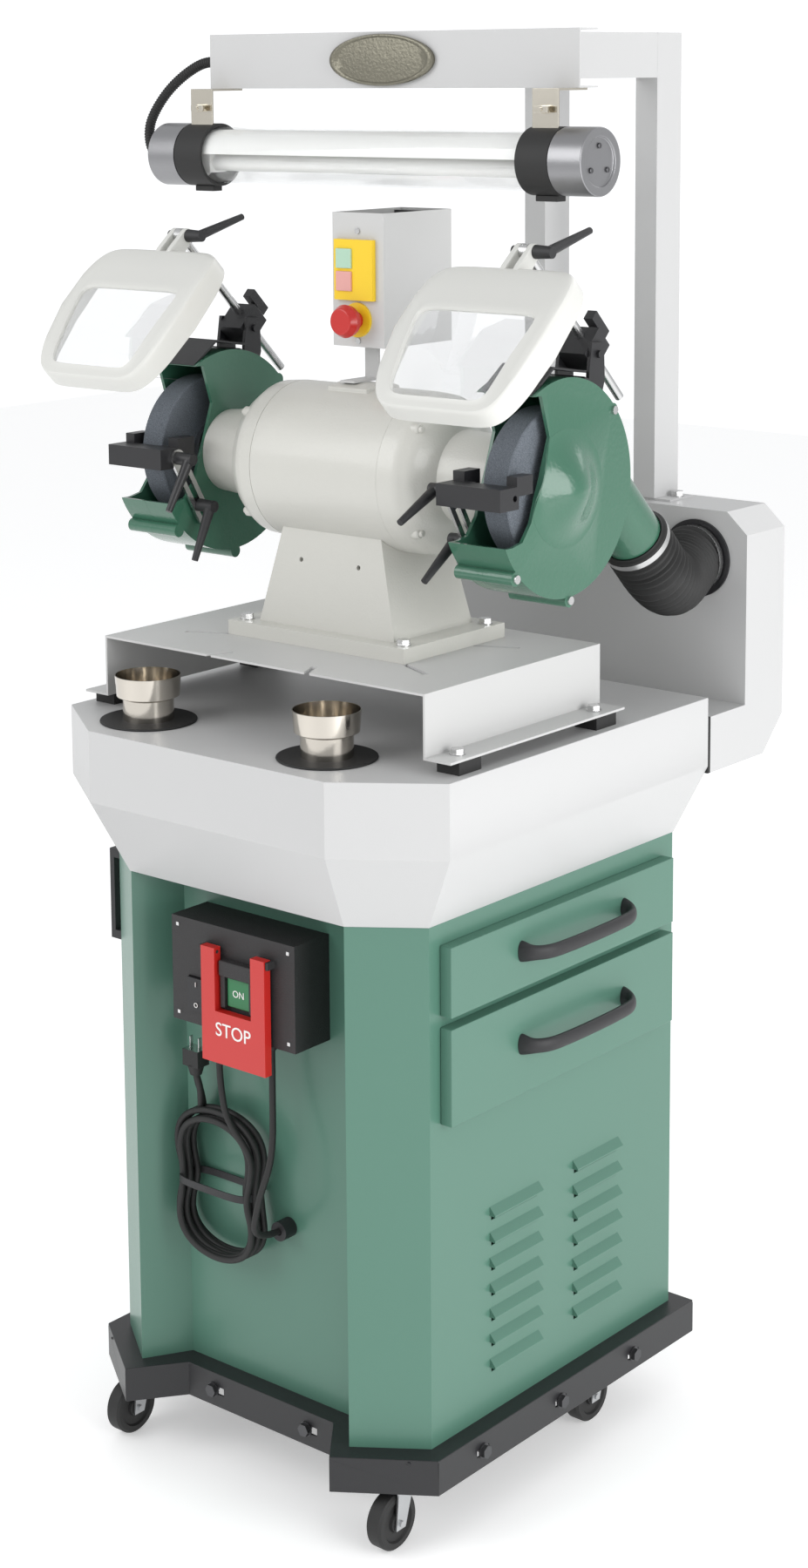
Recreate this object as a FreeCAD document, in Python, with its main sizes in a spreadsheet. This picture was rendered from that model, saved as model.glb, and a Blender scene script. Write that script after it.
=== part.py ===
import FreeCAD, Part
import math
import os
import re
import Sketcher

# Bench grinder centre: an eight inch grinder on a dust-collecting cabinet stand.
# Right-handed frame in millimetres: +X to the user's right along the grinder's
# shaft, +Y to the back, +Z up. The origin is on the floor in the middle of the footprint.
# Everything is drawn with y counted from the front of the upper housing, and each
# node's placement then moves it forward by half the depth.

os.makedirs("parts", exist_ok=True)
doc = FreeCAD.newDocument("bench_grinder")
sheet = doc.addObject("Spreadsheet::Sheet", "Sizes")
working = doc.addObject("Spreadsheet::Sheet", "Working")

SIZES = [
    # mobile base and casters
    ("caster_drop", 127), ("wheel_r", 37.5), ("wheel_wide", 26), ("axle_r", 4), ("trail", 22),
    ("swivel_x", 236), ("front_swivel_y", 101), ("rear_swivel_y", 529), ("kingpin_r", 5),
    ("base_top", 130), ("base_high", 48), ("base_half", 299), ("base_front", 19), ("base_back", 680),
    ("base_cut_x", 115), ("base_cut_y", 80), ("base_recess_x", 53), ("base_recess_y", 69),
    ("base_wall", 3),
    # cabinet
    ("cab_half", 273), ("cab_front", 55), ("cab_high", 693), ("cab_cut_x", 86), ("cab_cut_y", 62),
    ("cab_recess_x", 37), ("cab_recess_y", 62), ("sheet_wall", 2),
    ("louver_long", 106), ("louver_high", 13), ("louver_pitch", 35), ("louver_out", 9),
    # upper housing
    ("top_half", 330), ("top_deep", 656), ("top_cut_x", 125), ("top_cut_y", 88),
    ("taper_high", 103), ("band_high", 97), ("shelf_top", "=base_top+cab_high+taper_high+band_high+100"),
    # rear duct
    ("gasket", 6), ("duct_wall", 2), ("ledge_drop", 28), ("duct_low", "=shelf_top-207"), ("duct_face", 749),
    ("duct_deep", 98), ("duct_top", "=shelf_top+142"), ("duct_cut_x", 33), ("duct_cut_z", 30), ("duct_heel", 50),
    ("port_x", 248), ("port_z", "=shelf_top+72"), ("port_r", 44), ("hose_r", 46), ("hose_wall", 3),
    # drawers
    ("drawer_y", 138), ("drawer_long", 494), ("upper_drawer_z", "=base_top+cab_high-120"), ("upper_drawer_high", 92),
    ("lower_drawer_z", "=upper_drawer_z-143"), ("lower_drawer_high", 128), ("drawer_deep", 430), ("front_out", 18),
    ("pull_y", 398), ("pull_long", 230), ("pull_r", 6), ("pull_out", 38),
    # shelf
    ("pad_high", 17), ("shelf_half", 278), ("shelf_flange", 40),
    ("shelf_y", 105), ("shelf_deep", 368), ("shelf_plate", 3),
    # grinder
    ("shaft_y", 322), ("shaft_z", "=shelf_top+232"), ("drum_r", 107), ("drum_half", 110), ("drum_wall", 6),
    ("neck_r", 57), ("neck_end", 243), ("shaft_r", 12.5), ("run_gap", 0.05), ("bearing_r", 26),
    ("bearing_x", 161), ("bearing_wide", 15), ("stator_half", 45), ("rotor_r", 60),
    ("foot_half", 154), ("foot_deep", 212), ("foot_high", 20),
    ("stone_r", 101.5), ("stone_wide", 38), ("stone_x", 297), ("flange_r", 38), ("flange_wide", 8),
    ("guard_r", 140), ("guard_wall", 5), ("guard_split", 288), ("guard_out", 333),
    ("dome_r", 65), ("dome_high", 15), ("chute_r", 40), ("chute_wall", 3), ("chute_y", 210),
    ("chute_z", -94),
    # eye shields
    ("shield_x", 297), ("pivot_y", 402), ("pivot_z", "=shaft_z+162"), ("rod_r", 6), ("rod_side", 14),
    ("rod_long", 292), ("rod_up", 186), ("shield_half", 116), ("shield_long", 228),
    ("shield_drop", 34), ("shield_thick", 26), ("shield_wall", 4), ("lens_thick", 3),
    # tool rests
    ("arm_x", 236), ("arm_wide", 24), ("arm_thick", 4), ("arm_y", 208), ("arm_z", "=shaft_z+2"),
    ("arm_long", 100), ("clamp_down", 80), ("rest_half", 50),
    # control box over the motor
    ("ctl_half", 44), ("ctl_y", 313), ("ctl_deep", 142), ("ctl_z", "=shaft_z+159"), ("ctl_high", 177),
    # magnetic switch box on the cabinet
    ("mag_half", 108), ("mag_y", 50), ("mag_z", "=base_top+cab_high-184"), ("mag_high", 142),
    # light
    ("post_wide", 36), ("post_deep", 60), ("post_left", -51), ("post_right", 143), ("post_y", 770),
    ("light_top", "=shelf_top+803"), ("arm_high", 62), ("beam_half", 316), ("beam_y", 370), ("beam_high", 74),
    ("beam_flange", 40), ("lamp_y", 340), ("lamp_z", "=light_top-164"), ("lamp_r", 38.5), ("lamp_half", 370),
    ("cap_r", 43), ("cap_long", 50), ("strap_x", 294), ("strap_wide", 50), ("tube_r", 12),
    # cords
    ("cord_r", 4.5), ("gland_x", 33), ("gland_z", 363), ("relief_x", -58), ("link_x", 36),
    ("conduit_r", 7.5),
    # quench cups
    ("cup_left", -183), ("cup_right", 132), ("cup_y", 90), ("cup_r", 44), ("cup_high", 60),
    ("cup_wall", 1.2), ("mat_r", 65), ("mat_high", 3),
]
for row, (alias, value) in enumerate(SIZES, 1):
    sheet.set(f"A{row}", alias)
    sheet.set(f"B{row}", str(value))
    sheet.setAlias(f"B{row}", alias)
doc.recompute()

X, Y, Z = FreeCAD.Vector(1, 0, 0), FreeCAD.Vector(0, 1, 0), FreeCAD.Vector(0, 0, 1)
SIDES = {"left": -1, "right": 1}


def formula(text):
    """The sheet expression for a size: every plain name becomes a cell of Sizes."""
    return re.sub(r"\b([a-z][a-z_0-9]*)\b(?!\()", r"Sizes.\1", str(text))


def size(text):
    """The number that an expression of sheet names gives, worked out in a cell of its own."""
    working.set("A1", "=" + formula(text))
    working.recompute()
    return float(working.get("A1"))


def bind(thing, **properties):
    for name, text in properties.items():
        thing.setExpression(name, formula(text))
    return thing


def place(thing, x, y, z, axis=None, angle=0.0):
    if axis is not None:
        thing.Placement = FreeCAD.Placement(FreeCAD.Vector(), FreeCAD.Rotation(axis, angle))
    for letter, text in zip("xyz", (x, y, z)):
        thing.setExpression(f".Placement.Base.{letter}", formula(text))
    return thing


def box(x, y, z):
    """A box from three (low, high) pairs."""
    solid = doc.addObject("Part::Box", "Box")
    bind(solid, Length=f"({x[1]})-({x[0]})", Width=f"({y[1]})-({y[0]})", Height=f"({z[1]})-({z[0]})")
    return place(solid, x[0], y[0], z[0])


TURN = {"X": (Y, 90), "Y": (X, -90), "Z": (Z, 0)}


def rod(axis, radius, low, length):
    """A cylinder that runs along an axis from its low end."""
    solid = doc.addObject("Part::Cylinder", "Rod")
    bind(solid, Radius=radius, Height=length)
    return place(solid, *low, *TURN[axis])


def cone(axis, radius, end_radius, low, length):
    solid = doc.addObject("Part::Cone", "Cone")
    bind(solid, Radius1=radius, Radius2=end_radius, Height=length)
    return place(solid, *low, *TURN[axis])


def group(*things):
    bundle = doc.addObject("Part::Compound", "Group")
    bundle.Links = list(things)
    return bundle


def cut(base, *tools):
    result = doc.addObject("Part::Cut", "Cut")
    result.Base = base
    result.Tool = tools[0] if len(tools) == 1 else group(*tools)
    return result


def fuse(*things):
    result = doc.addObject("Part::MultiFuse", "Fuse")
    result.Shapes = list(things)
    result.Refine = True
    return result


def common(first, second):
    result = doc.addObject("Part::Common", "Common")
    result.Base, result.Tool = first, second
    return result


def ring(axis, outer, inner, low, length):
    return cut(rod(axis, outer, low, length), rod(axis, inner, low, length))


def mirror(thing):
    result = doc.addObject("Part::Mirroring", "Mirror")
    result.Source = thing
    result.Normal = X
    return result


def moved(thing, x, y, z, axis=None, angle=0.0):
    return place(group(thing), x, y, z, axis, angle)


def draw(body, plane, points, offset):
    """A closed outline of straight lines, each corner held by two sheet expressions."""
    role = plane + "_Plane"
    origin = next(part for part in body.Origin.OriginFeatures if part.Role == role)
    sketch = body.newObject("Sketcher::SketchObject", "Outline")
    sketch.AttachmentSupport = [(origin, "")]
    sketch.MapMode = "FlatFace"
    sketch.setExpression(".AttachmentOffset.Base.z", formula(offset))
    corners = [FreeCAD.Vector(size(u), size(v), 0) for u, v in points]
    count = len(corners)
    sketch.addGeometry([Part.LineSegment(corners[k], corners[(k + 1) % count]) for k in range(count)])
    for k in range(count):
        sketch.addConstraint(Sketcher.Constraint("Coincident", k, 2, (k + 1) % count, 1))
    for k, pair in enumerate(points):
        for kind, text in zip(("DistanceX", "DistanceY"), pair):
            index = sketch.addConstraint(Sketcher.Constraint(kind, -1, 1, k, 1, size(text)))
            sketch.setExpression(f"Constraints[{index}]", formula(text))
    return sketch


def prism(plane, points, low, high):
    """A padded outline between two planes square to the sketch's normal."""
    body = doc.addObject("PartDesign::Body", "Prism")
    start = f"-({high})" if plane == "XZ" else low
    pad = body.newObject("PartDesign::Pad", "Pad")
    pad.Profile = draw(body, plane, points, start)
    bind(pad, Length=f"({high})-({low})")
    body.Tip = pad
    return body


def turned(axis, points, centre):
    """A profile turned about X (points x, radius) or about Z (points radius, z)."""
    body = doc.addObject("PartDesign::Body", "Turned")
    sketch = draw(body, "XZ", points, 0)
    turn = body.newObject("PartDesign::Revolution", "Revolution")
    turn.Profile = sketch
    turn.ReferenceAxis = (sketch, ["H_Axis" if axis == "X" else "V_Axis"])
    turn.Angle = 360
    body.Tip = turn
    return place(body, *centre)


def loft(lower, low_z, upper, high_z):
    """A straight-sided loft between two outlines at two heights."""
    body = doc.addObject("PartDesign::Body", "Lofted")
    first = draw(body, "XY", lower, low_z)
    second = draw(body, "XY", upper, high_z)
    feature = body.newObject("PartDesign::AdditiveLoft", "Loft")
    feature.Profile = first
    feature.Sections = [second]
    feature.Ruled = True
    body.Tip = feature
    return body


def tube_path(points):
    """Straight runs joined by tangent arcs, each as large as 0.45 of its shorter run allows."""
    corners = [FreeCAD.Vector(*point) for point in points]
    edges, radii, last = [], [], corners[0]
    for before, here, after in zip(corners, corners[1:], corners[2:]):
        back, ahead = before - here, after - here
        turn = math.pi - back.getAngle(ahead)
        reach = 0.45 * min(back.Length, ahead.Length)
        radii.append(reach / math.tan(turn / 2))
        start = here + back.normalize() * reach
        end = here + ahead.normalize() * reach
        middle_way = (back + ahead).normalize()
        depth = radii[-1] * (1 / math.cos(turn / 2) - 1)
        edges.append(Part.LineSegment(last, start).toShape())
        edges.append(Part.Arc(start, here + middle_way * depth, end).toShape())
        last = end
    edges.append(Part.LineSegment(last, corners[-1]).toShape())
    return Part.Wire(edges), radii


def swept(points, radius, bore=0.0):
    """A round tube, solid or hollow, along a path of runs and arcs."""
    wire, radii = tube_path(points)
    start = wire.Edges[0].firstVertex().Point
    way = wire.Edges[0].tangentAt(wire.Edges[0].FirstParameter)
    shape = wire.makePipeShell([Part.Wire(Part.makeCircle(radius, start, way))], True, False)
    if bore:
        shape = shape.cut(wire.makePipeShell([Part.Wire(Part.makeCircle(bore, start, way))], True, False))
    ideal = math.pi * (radius ** 2 - bore ** 2) * wire.Length
    print(f"tube r {radius:.1f}: length {wire.Length:.0f}, volume/ideal {shape.Volume / ideal:.3f},",
          "radii", [round(value) for value in radii])
    feature = doc.addObject("Part::Feature", "Swept")
    feature.Shape = shape
    return feature


NODES = []


def node(name, *things):
    """One named sub-part: its solids together, moved so that the footprint is centred."""
    bundle = group(*things)
    bundle.Label = name
    place(bundle, 0, "-(duct_face+duct_deep)/2", 0)
    NODES.append(bundle)


# ---------------------------------------------------------------- mobile base and casters
def stand_outline(half, front, back, cut_x, cut_y, recess_x, recess_y, wall="0"):
    """Plan with a cut corner and a recessed middle at the front, drawn in by a wall."""
    share = f"({wall})*0.41"
    right = [
        (f"{half}-({wall})", f"{back}-({wall})"),
        (f"{half}-({wall})", f"{front}+{cut_y}+{share}"),
        (f"{half}-{cut_x}", f"{front}+1.4*({wall})"),
        (f"{half}-{cut_x}-{recess_x}+{share}", f"{front}+{recess_y}+({wall})"),
    ]
    left = [(f"-({u})", v) for u, v in reversed(right)]
    return right + left


def walls(outline, inside, low, high):
    """One flat panel for each edge of a plan, from its outer corners to its inner ones."""
    count = len(outline)
    return [prism("XY", [outline[k], outline[(k + 1) % count], inside[(k + 1) % count], inside[k]], low, high)
            for k in range(count)]


def box_walls(x, y, z, wall):
    """An open-topped sheet box as its bottom and four sides."""
    bottom = box(x, y, (z[0], f"{z[0]}+{wall}"))
    rise = (f"{z[0]}+{wall}", z[1])
    across = (f"{x[0]}+{wall}", f"{x[1]}-{wall}")
    return [bottom, box((x[0], f"{x[0]}+{wall}"), y, rise), box((f"{x[1]}-{wall}", x[1]), y, rise),
            box(across, (y[0], f"{y[0]}+{wall}"), rise), box(across, (f"{y[1]}-{wall}", y[1]), rise)]


BASE = ("base_half", "base_front", "base_back", "base_cut_x", "base_cut_y", "base_recess_x", "base_recess_y")
CABINET = ("cab_half", "cab_front", "top_deep", "cab_cut_x", "cab_cut_y", "cab_recess_x", "cab_recess_y")

skirt = walls(stand_outline(*BASE), stand_outline(*BASE, wall="base_wall"), "base_top-base_high",
              "base_top-base_wall")
deck = prism("XY", stand_outline(*BASE), "base_top-base_wall", "base_top")
slots = []
for slot_y in ("base_front+160", "base_front+330", "base_front+500"):
    for side in SIDES.values():
        low_x = f"{side}*base_half-6"
        slots.append(box((low_x, f"{low_x}+12"), (slot_y, f"{slot_y}+24"), ("base_top-29", "base_top-19")))
for slot_x in (-90, 78):
    slots.append(box((slot_x, slot_x + 24), ("base_front+base_recess_y-4", "base_front+base_recess_y+8"),
                     ("base_top-29", "base_top-19")))
skirt = [cut(panel, *slots) for panel in skirt]
SWIVELS = {
    "front_left": ("-swivel_x", "front_swivel_y"), "front_right": ("swivel_x", "front_swivel_y"),
    "rear_left": ("-swivel_x", "rear_swivel_y"), "rear_right": ("swivel_x", "rear_swivel_y"),
}
plates = []
for at_x, at_y in SWIVELS.values():
    plate = box((f"{at_x}-34", f"{at_x}+34"), (f"{at_y}-26", f"{at_y}+34"), ("caster_drop-3", "caster_drop"))
    kingpin = rod("Z", "kingpin_r", (at_x, at_y, "caster_drop-17"), 14)
    plates += [plate, kingpin]
node("mobile_base", deck, *skirt, *plates)

for name, (at_x, at_y) in SWIVELS.items():
    crown = ring("Z", 27, "kingpin_r+run_gap", (at_x, at_y, "caster_drop-14"), 10.5)
    axle_y = f"{at_y}-trail"
    legs = []
    for side in (-1, 1):
        inner = f"{at_x}+{side}*(wheel_wide/2+2.5)-1.25"
        leg = prism("YZ", [(f"{at_y}+14", "caster_drop-13"), (f"{at_y}-22", "caster_drop-13"),
                           (f"{axle_y}-9", "wheel_r-8"), (f"{axle_y}+9", "wheel_r-8")],
                    inner, f"{inner}+2.5")
        legs.append(cut(leg, rod("X", "axle_r", (f"{inner}-1", axle_y, "wheel_r"), 5)))
    axle = rod("X", "axle_r", (f"{at_x}-wheel_wide/2-7", axle_y, "wheel_r"), "wheel_wide+14")
    node("caster_fork_" + name, fuse(crown, *legs), axle)
    half = "wheel_wide/2"
    wheel = turned("X", [(f"-{half}", "axle_r+run_gap"), (f"-{half}", 13), (f"-{half}+4", 14),
                         (f"-{half}+4", "wheel_r-12"), (f"-{half}+1", "wheel_r-10"), (f"-{half}+1", "wheel_r-3"),
                         (f"-{half}+4", "wheel_r"), (f"{half}-4", "wheel_r"), (f"{half}-1", "wheel_r-3"),
                         (f"{half}-1", "wheel_r-10"), (f"{half}-4", "wheel_r-12"), (f"{half}-4", 14),
                         (half, 13), (half, "axle_r+run_gap")], (at_x, axle_y, "wheel_r"))
    node("caster_wheel_" + name, wheel)

# ---------------------------------------------------------------- cabinet
CAB_TOP = "base_top+cab_high"
floor = prism("XY", stand_outline(*CABINET), "base_top", "base_top+sheet_wall")
panels = walls(stand_outline(*CABINET), stand_outline(*CABINET, wall="sheet_wall"), "base_top+sheet_wall",
               CAB_TOP)
RIGHT_PANEL, FRONT_PANEL = 0, 3
openings = []
for name in ("upper", "lower"):
    low_z, high = f"{name}_drawer_z", f"{name}_drawer_high"
    openings.append(box(("cab_half-6", "cab_half+6"), ("drawer_y+10", "drawer_y+drawer_long-10"),
                        (f"{low_z}+8", f"{low_z}+{high}-8")))
fins = []
for column_y, top_z, count in (("cab_front+184", 416, 7), ("cab_front+367", 419, 7)):
    for k in range(count):
        z = f"{top_z}-{k}*louver_pitch"
        span = (column_y, f"{column_y}+louver_long")
        fins.append(prism("XZ", [("cab_half-0.5", f"{z}-louver_high"), ("cab_half+louver_out", f"{z}-louver_high"),
                                 ("cab_half+louver_out", f"{z}-louver_high+2"), ("cab_half-0.5", z)], *span))
        openings.append(box(("cab_half-6", "cab_half+6"), (f"{column_y}+3", f"{column_y}+louver_long-3"),
                            (f"{z}-louver_high-7", f"{z}-louver_high")))
panels[RIGHT_PANEL] = fuse(cut(panels[RIGHT_PANEL], *openings), *fins)
PANEL_Y = "cab_front+cab_recess_y"
panels[FRONT_PANEL] = cut(panels[FRONT_PANEL], rod("Y", 9, ("gland_x", f"{PANEL_Y}-4", "gland_z"), 10))
gland = cut(fuse(rod("Y", 9, ("gland_x", f"{PANEL_Y}-1", "gland_z"), 12),
                 rod("Y", 13, ("gland_x", f"{PANEL_Y}-22", "gland_z"), 22)),
            rod("Y", "cord_r+0.7", ("gland_x", f"{PANEL_Y}-30", "gland_z"), 60))
runners = []
for name in ("upper", "lower"):
    for y in ("drawer_y+14", "drawer_y+drawer_long-28"):
        runners.append(box(("-180", "cab_half-sheet_wall"), (y, f"{y}+14"),
                           (f"{name}_drawer_z+4", f"{name}_drawer_z+8")))
grab = (box(("-cab_half-26", "-cab_half-18"), (124, 136), (690, 818)),
            box(("-cab_half-18", "-cab_half"), (124, 136), (690, 702)),
            box(("-cab_half-18", "-cab_half"), (124, 136), (806, 818)))
node("cabinet_shell", floor, *panels, gland, *grab, *runners)


def arched_pull(low_x, y, z):
    """A bow handle: two feet and a bar that runs along Y between them."""
    feet = [cone("X", "pull_r+3", "pull_r", (low_x, f"{y}+{end}*pull_long/2", z), "pull_out-2*pull_r")
            for end in (-1, 1)]
    bar = box((f"{low_x}+pull_out-2*pull_r", f"{low_x}+pull_out"),
              (f"{y}-pull_long/2-7", f"{y}+pull_long/2+7"), (f"{z}-pull_r-2", f"{z}+pull_r+2"))
    return feet + [bar]


for name in ("upper", "lower"):
    low_z, high = f"{name}_drawer_z", f"{name}_drawer_high"
    face_x = "cab_half+0.5"
    front = box((face_x, f"{face_x}+front_out"), ("drawer_y", "drawer_y+drawer_long"), (low_z, f"{low_z}+{high}"))
    tray_box = box_walls((f"{face_x}-drawer_deep", face_x), ("drawer_y+30", "drawer_y+drawer_long-30"),
                         (f"{low_z}+9", f"{low_z}+{high}-16"), "sheet_wall")
    rails = [box((f"{face_x}-drawer_deep", face_x), (y, f"{y}+{wide}"), (f"{low_z}+9", f"{low_z}+16"))
             for y, wide in (("drawer_y+16", 14), ("drawer_y+drawer_long-30", 14))]
    pull = arched_pull(f"{face_x}+front_out", "pull_y", f"{low_z}+{high}/2+4")
    node(f"{name}_drawer", front, *tray_box, *rails, *pull)

# ---------------------------------------------------------------- upper housing
HOUSE_LOW = CAB_TOP
BAND_LOW = f"{CAB_TOP}+taper_high"
HOUSE_TOP = f"{BAND_LOW}+band_high"


def hood_outline(half, front, cut_x, cut_y, wall):
    right = [(f"{half}-({wall})", f"top_deep-({wall})"), (f"{half}-({wall})", f"{front}+{cut_y}+0.41*({wall})"),
             (f"{half}-{cut_x}-0.41*({wall})", f"{front}+({wall})")]
    return right + [(f"-({u})", v) for u, v in reversed(right)]


LOW_PLAN = ("cab_half+1", "cab_front-1", "cab_cut_x", "cab_cut_y")
TOP_PLAN = ("top_half", "0", "top_cut_x", "top_cut_y")
low_out, low_in = hood_outline(*LOW_PLAN, "0"), hood_outline(*LOW_PLAN, "sheet_wall")
top_out, top_in = hood_outline(*TOP_PLAN, "0"), hood_outline(*TOP_PLAN, "sheet_wall")
TOP_LOW = f"{HOUSE_TOP}-sheet_wall"
band = walls(top_out, top_in, BAND_LOW, TOP_LOW)
taper = []
for k in range(len(low_out)):
    after = (k + 1) % len(low_out)
    taper.append(loft([low_out[k], low_out[after], low_in[after], low_in[k]], HOUSE_LOW,
                      [top_out[k], top_out[after], top_in[after], top_in[k]], BAND_LOW))
duct_way = box(("-200", "200"), ("top_deep-6", "top_deep+6"), ("duct_low+12", "duct_low+58"))
taper[-1], band[-1] = cut(taper[-1], duct_way), cut(band[-1], duct_way)
lid = prism("XY", top_out, TOP_LOW, HOUSE_TOP)
mats = [rod("Z", "mat_r", (x, "cup_y", HOUSE_TOP), "mat_high") for x in ("cup_left", "cup_right")]
node("upper_housing", lid, *band, *taper, *mats)

# ---------------------------------------------------------------- rear duct
DUCT_BACK = "duct_face+duct_deep"
LEDGE = f"{HOUSE_TOP}-ledge_drop"
DUCT_START = "top_deep+gasket"


def duct_side(wall):
    return [(f"{DUCT_START}+({wall})", f"duct_low+({wall})"),
            (f"{DUCT_BACK}-duct_heel-0.41*({wall})", f"duct_low+({wall})"),
            (f"{DUCT_BACK}-({wall})", f"duct_low+duct_heel+0.41*({wall})"),
            (f"{DUCT_BACK}-({wall})", f"duct_top-({wall})"), (f"duct_face+({wall})", f"duct_top-({wall})"),
            (f"duct_face+({wall})", f"{LEDGE}-({wall})"), (f"{DUCT_START}+({wall})", f"{LEDGE}-({wall})")]


def duct_corner(side, wall):
    """The wedge that cuts a top corner of the column."""
    return prism("XZ", [(f"{side}*(top_half-duct_cut_x-0.41*({wall}))", f"duct_top-({wall})"),
                        (f"{side}*(top_half-({wall}))", f"duct_top-duct_cut_z-0.41*({wall})"),
                        (f"{side}*(top_half+20)", f"duct_top-duct_cut_z-0.41*({wall})"),
                        (f"{side}*(top_half+20)", "duct_top+20"),
                        (f"{side}*(top_half-duct_cut_x-0.41*({wall}))", "duct_top+20")],
                 "duct_face-10", f"{DUCT_BACK}+10")


outside, inside = duct_side("0"), duct_side("duct_wall")
corners = [duct_corner(side, "duct_wall") for side in (-1, 1)]
duct_panels = []
for k in range(len(outside)):
    after = (k + 1) % len(outside)
    duct_panels.append(prism("YZ", [outside[k], outside[after], inside[after], inside[k]],
                             "-top_half+duct_wall", "top_half-duct_wall"))
for low, high in (("-top_half", "-top_half+duct_wall"), ("top_half-duct_wall", "top_half")):
    duct_panels.append(prism("YZ", outside, low, high))
outer = cut(prism("YZ", outside, "-top_half", "top_half"), duct_corner(-1, "0"), duct_corner(1, "0"))
ports = [rod("Y", "port_r", (f"{side}*port_x", "duct_face-5", "port_z"), 12) for side in (-1, 1)]
mouth = box(("-200", "200"), (f"{DUCT_START}-3", f"{DUCT_START}+5"), ("duct_low+12", "duct_low+58"))
strip = cut(box(("-top_half", "top_half"), ("top_deep", DUCT_START), ("duct_low", LEDGE)),
            box(("-205", "205"), ("top_deep-2", f"{DUCT_START}+2"), ("duct_low+8", "duct_low+62")))
collars = []
for side in (-1, 1):
    at = (f"{side}*port_x", "port_z")
    flange = ring("Y", "port_r+11", "port_r-3", (at[0], "duct_face-4", at[1]), 4)
    pipe = ring("Y", "hose_r-hose_wall", "port_r-3", (at[0], "duct_face-14", at[1]), 14)
    collars.append(fuse(flange, pipe))
frame_bolts = [(f"{post}+{side}*(post_wide/2+14)", "post_y+38") for post in ("post_left", "post_right")
               for side in SIDES.values()]
drillings = [rod("Z", 4, (*spot, "duct_top-10"), 20) for spot in frame_bolts]
duct_panels = [cut(panel, *corners, mouth, *ports, *drillings) for panel in duct_panels]
duct_panels += [common(outer, corner) for corner in corners]
node("rear_duct", *duct_panels, strip, *collars)

# ---------------------------------------------------------------- light frame and lamp
POST_BACK = "post_y+post_deep"
frames = []
for post in ("post_left", "post_right"):
    x = (f"{post}-post_wide/2", f"{post}+post_wide/2")
    inside = (f"{x[0]}+2", f"{x[1]}-2")
    upright = cut(box(x, ("post_y", POST_BACK), ("duct_top+3", "light_top-2")),
                  box(inside, ("post_y+2", f"{POST_BACK}-2"), ("duct_top+2", "light_top-4")))
    arm = cut(box(x, ("beam_y+2", "post_y"), ("light_top-2-arm_high", "light_top-2")),
              box(inside, ("beam_y+1", "post_y+1"), ("light_top-arm_high", "light_top-4")))
    foot = box((f"{x[0]}-26", f"{x[1]}+26"), ("post_y+2", POST_BACK), ("duct_top", "duct_top+3"))
    frames += [upright, arm, cut(foot, *drillings)]
wide = ("-beam_half", "beam_half")
beam = [box(wide, ("beam_y", "beam_y+2"), ("light_top-beam_high", "light_top")),
        box(wide, ("beam_y+2", "beam_y+beam_flange"), ("light_top-2", "light_top")),
        box(wide, ("beam_y+2", "beam_y+beam_flange"), ("light_top-beam_high", "light_top-beam_high+2"))]
plaque_shape = doc.addObject("Part::Feature", "Plaque")
oval = Part.Ellipse(FreeCAD.Vector(), 88, 33).toShape()
oval.Placement = FreeCAD.Placement(FreeCAD.Vector(), FreeCAD.Rotation(X, 90))
plaque_shape.Shape = Part.Face(Part.Wire([oval])).extrude(FreeCAD.Vector(0, -4, 0))
plaque = moved(plaque_shape, -2, "beam_y", "light_top-beam_high/2")
node("light_frame", *frames, *beam, plaque)

hangers = []
BEAM_LOW = "light_top-beam_high"
for side in (-1, 1):
    x = f"{side}*strap_x"
    upper = fuse(box((f"{x}-20", f"{x}+20"), ("lamp_y-12", "lamp_y+50"), (f"{BEAM_LOW}-3", BEAM_LOW)),
                 box((f"{x}-20", f"{x}+20"), ("lamp_y-12", "lamp_y-9"), (f"{BEAM_LOW}-52", f"{BEAM_LOW}-3")))
    lower = box((f"{x}-14", f"{x}+14"), ("lamp_y-9", "lamp_y-6"), ("lamp_z+cap_r-1", f"{BEAM_LOW}-8"))
    clip = ring("X", "cap_r", "lamp_r+run_gap", (f"{x}-strap_wide/2", "lamp_y", "lamp_z"), "strap_wide")
    pinch = box((f"{x}-17", f"{x}+17"), ("lamp_y-9", "lamp_y+9"), ("lamp_z-cap_r-7", "lamp_z-cap_r+0.5"))
    stud = rod("Y", 2.5, (x, "lamp_y-24", f"{BEAM_LOW}-26"), 24)
    wing = box((f"{x}-11", f"{x}+11"), ("lamp_y-22", "lamp_y-18"), (f"{BEAM_LOW}-30", f"{BEAM_LOW}-22"))
    boss = rod("Y", 5, (x, "lamp_y-22", f"{BEAM_LOW}-26"), 10)
    hangers += [fuse(upper, lower, stud, wing, boss), fuse(clip, pinch)]
node("lamp_brackets", *hangers)

LAMP = ("lamp_y", "lamp_z")
clear = ring("X", "lamp_r", "lamp_r-3", ("-lamp_half+8", *LAMP), "2*lamp_half-16")
caps = []
for side in (-1, 1):
    low = "-lamp_half" if side < 0 else "lamp_half-cap_long"
    body = cut(rod("X", "cap_r", (low, *LAMP), "cap_long"),
               rod("X", "lamp_r", (f"{low}+{8 if side < 0 else -2}", *LAMP), "cap_long-6"))
    face_low = f"{side}*lamp_half-3"
    dish = rod("X", "cap_r-12", (face_low if side > 0 else "-lamp_half-3", *LAMP), 6)
    caps.append(cut(body, dish))
node("lamp_tube", clear, *caps)

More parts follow.
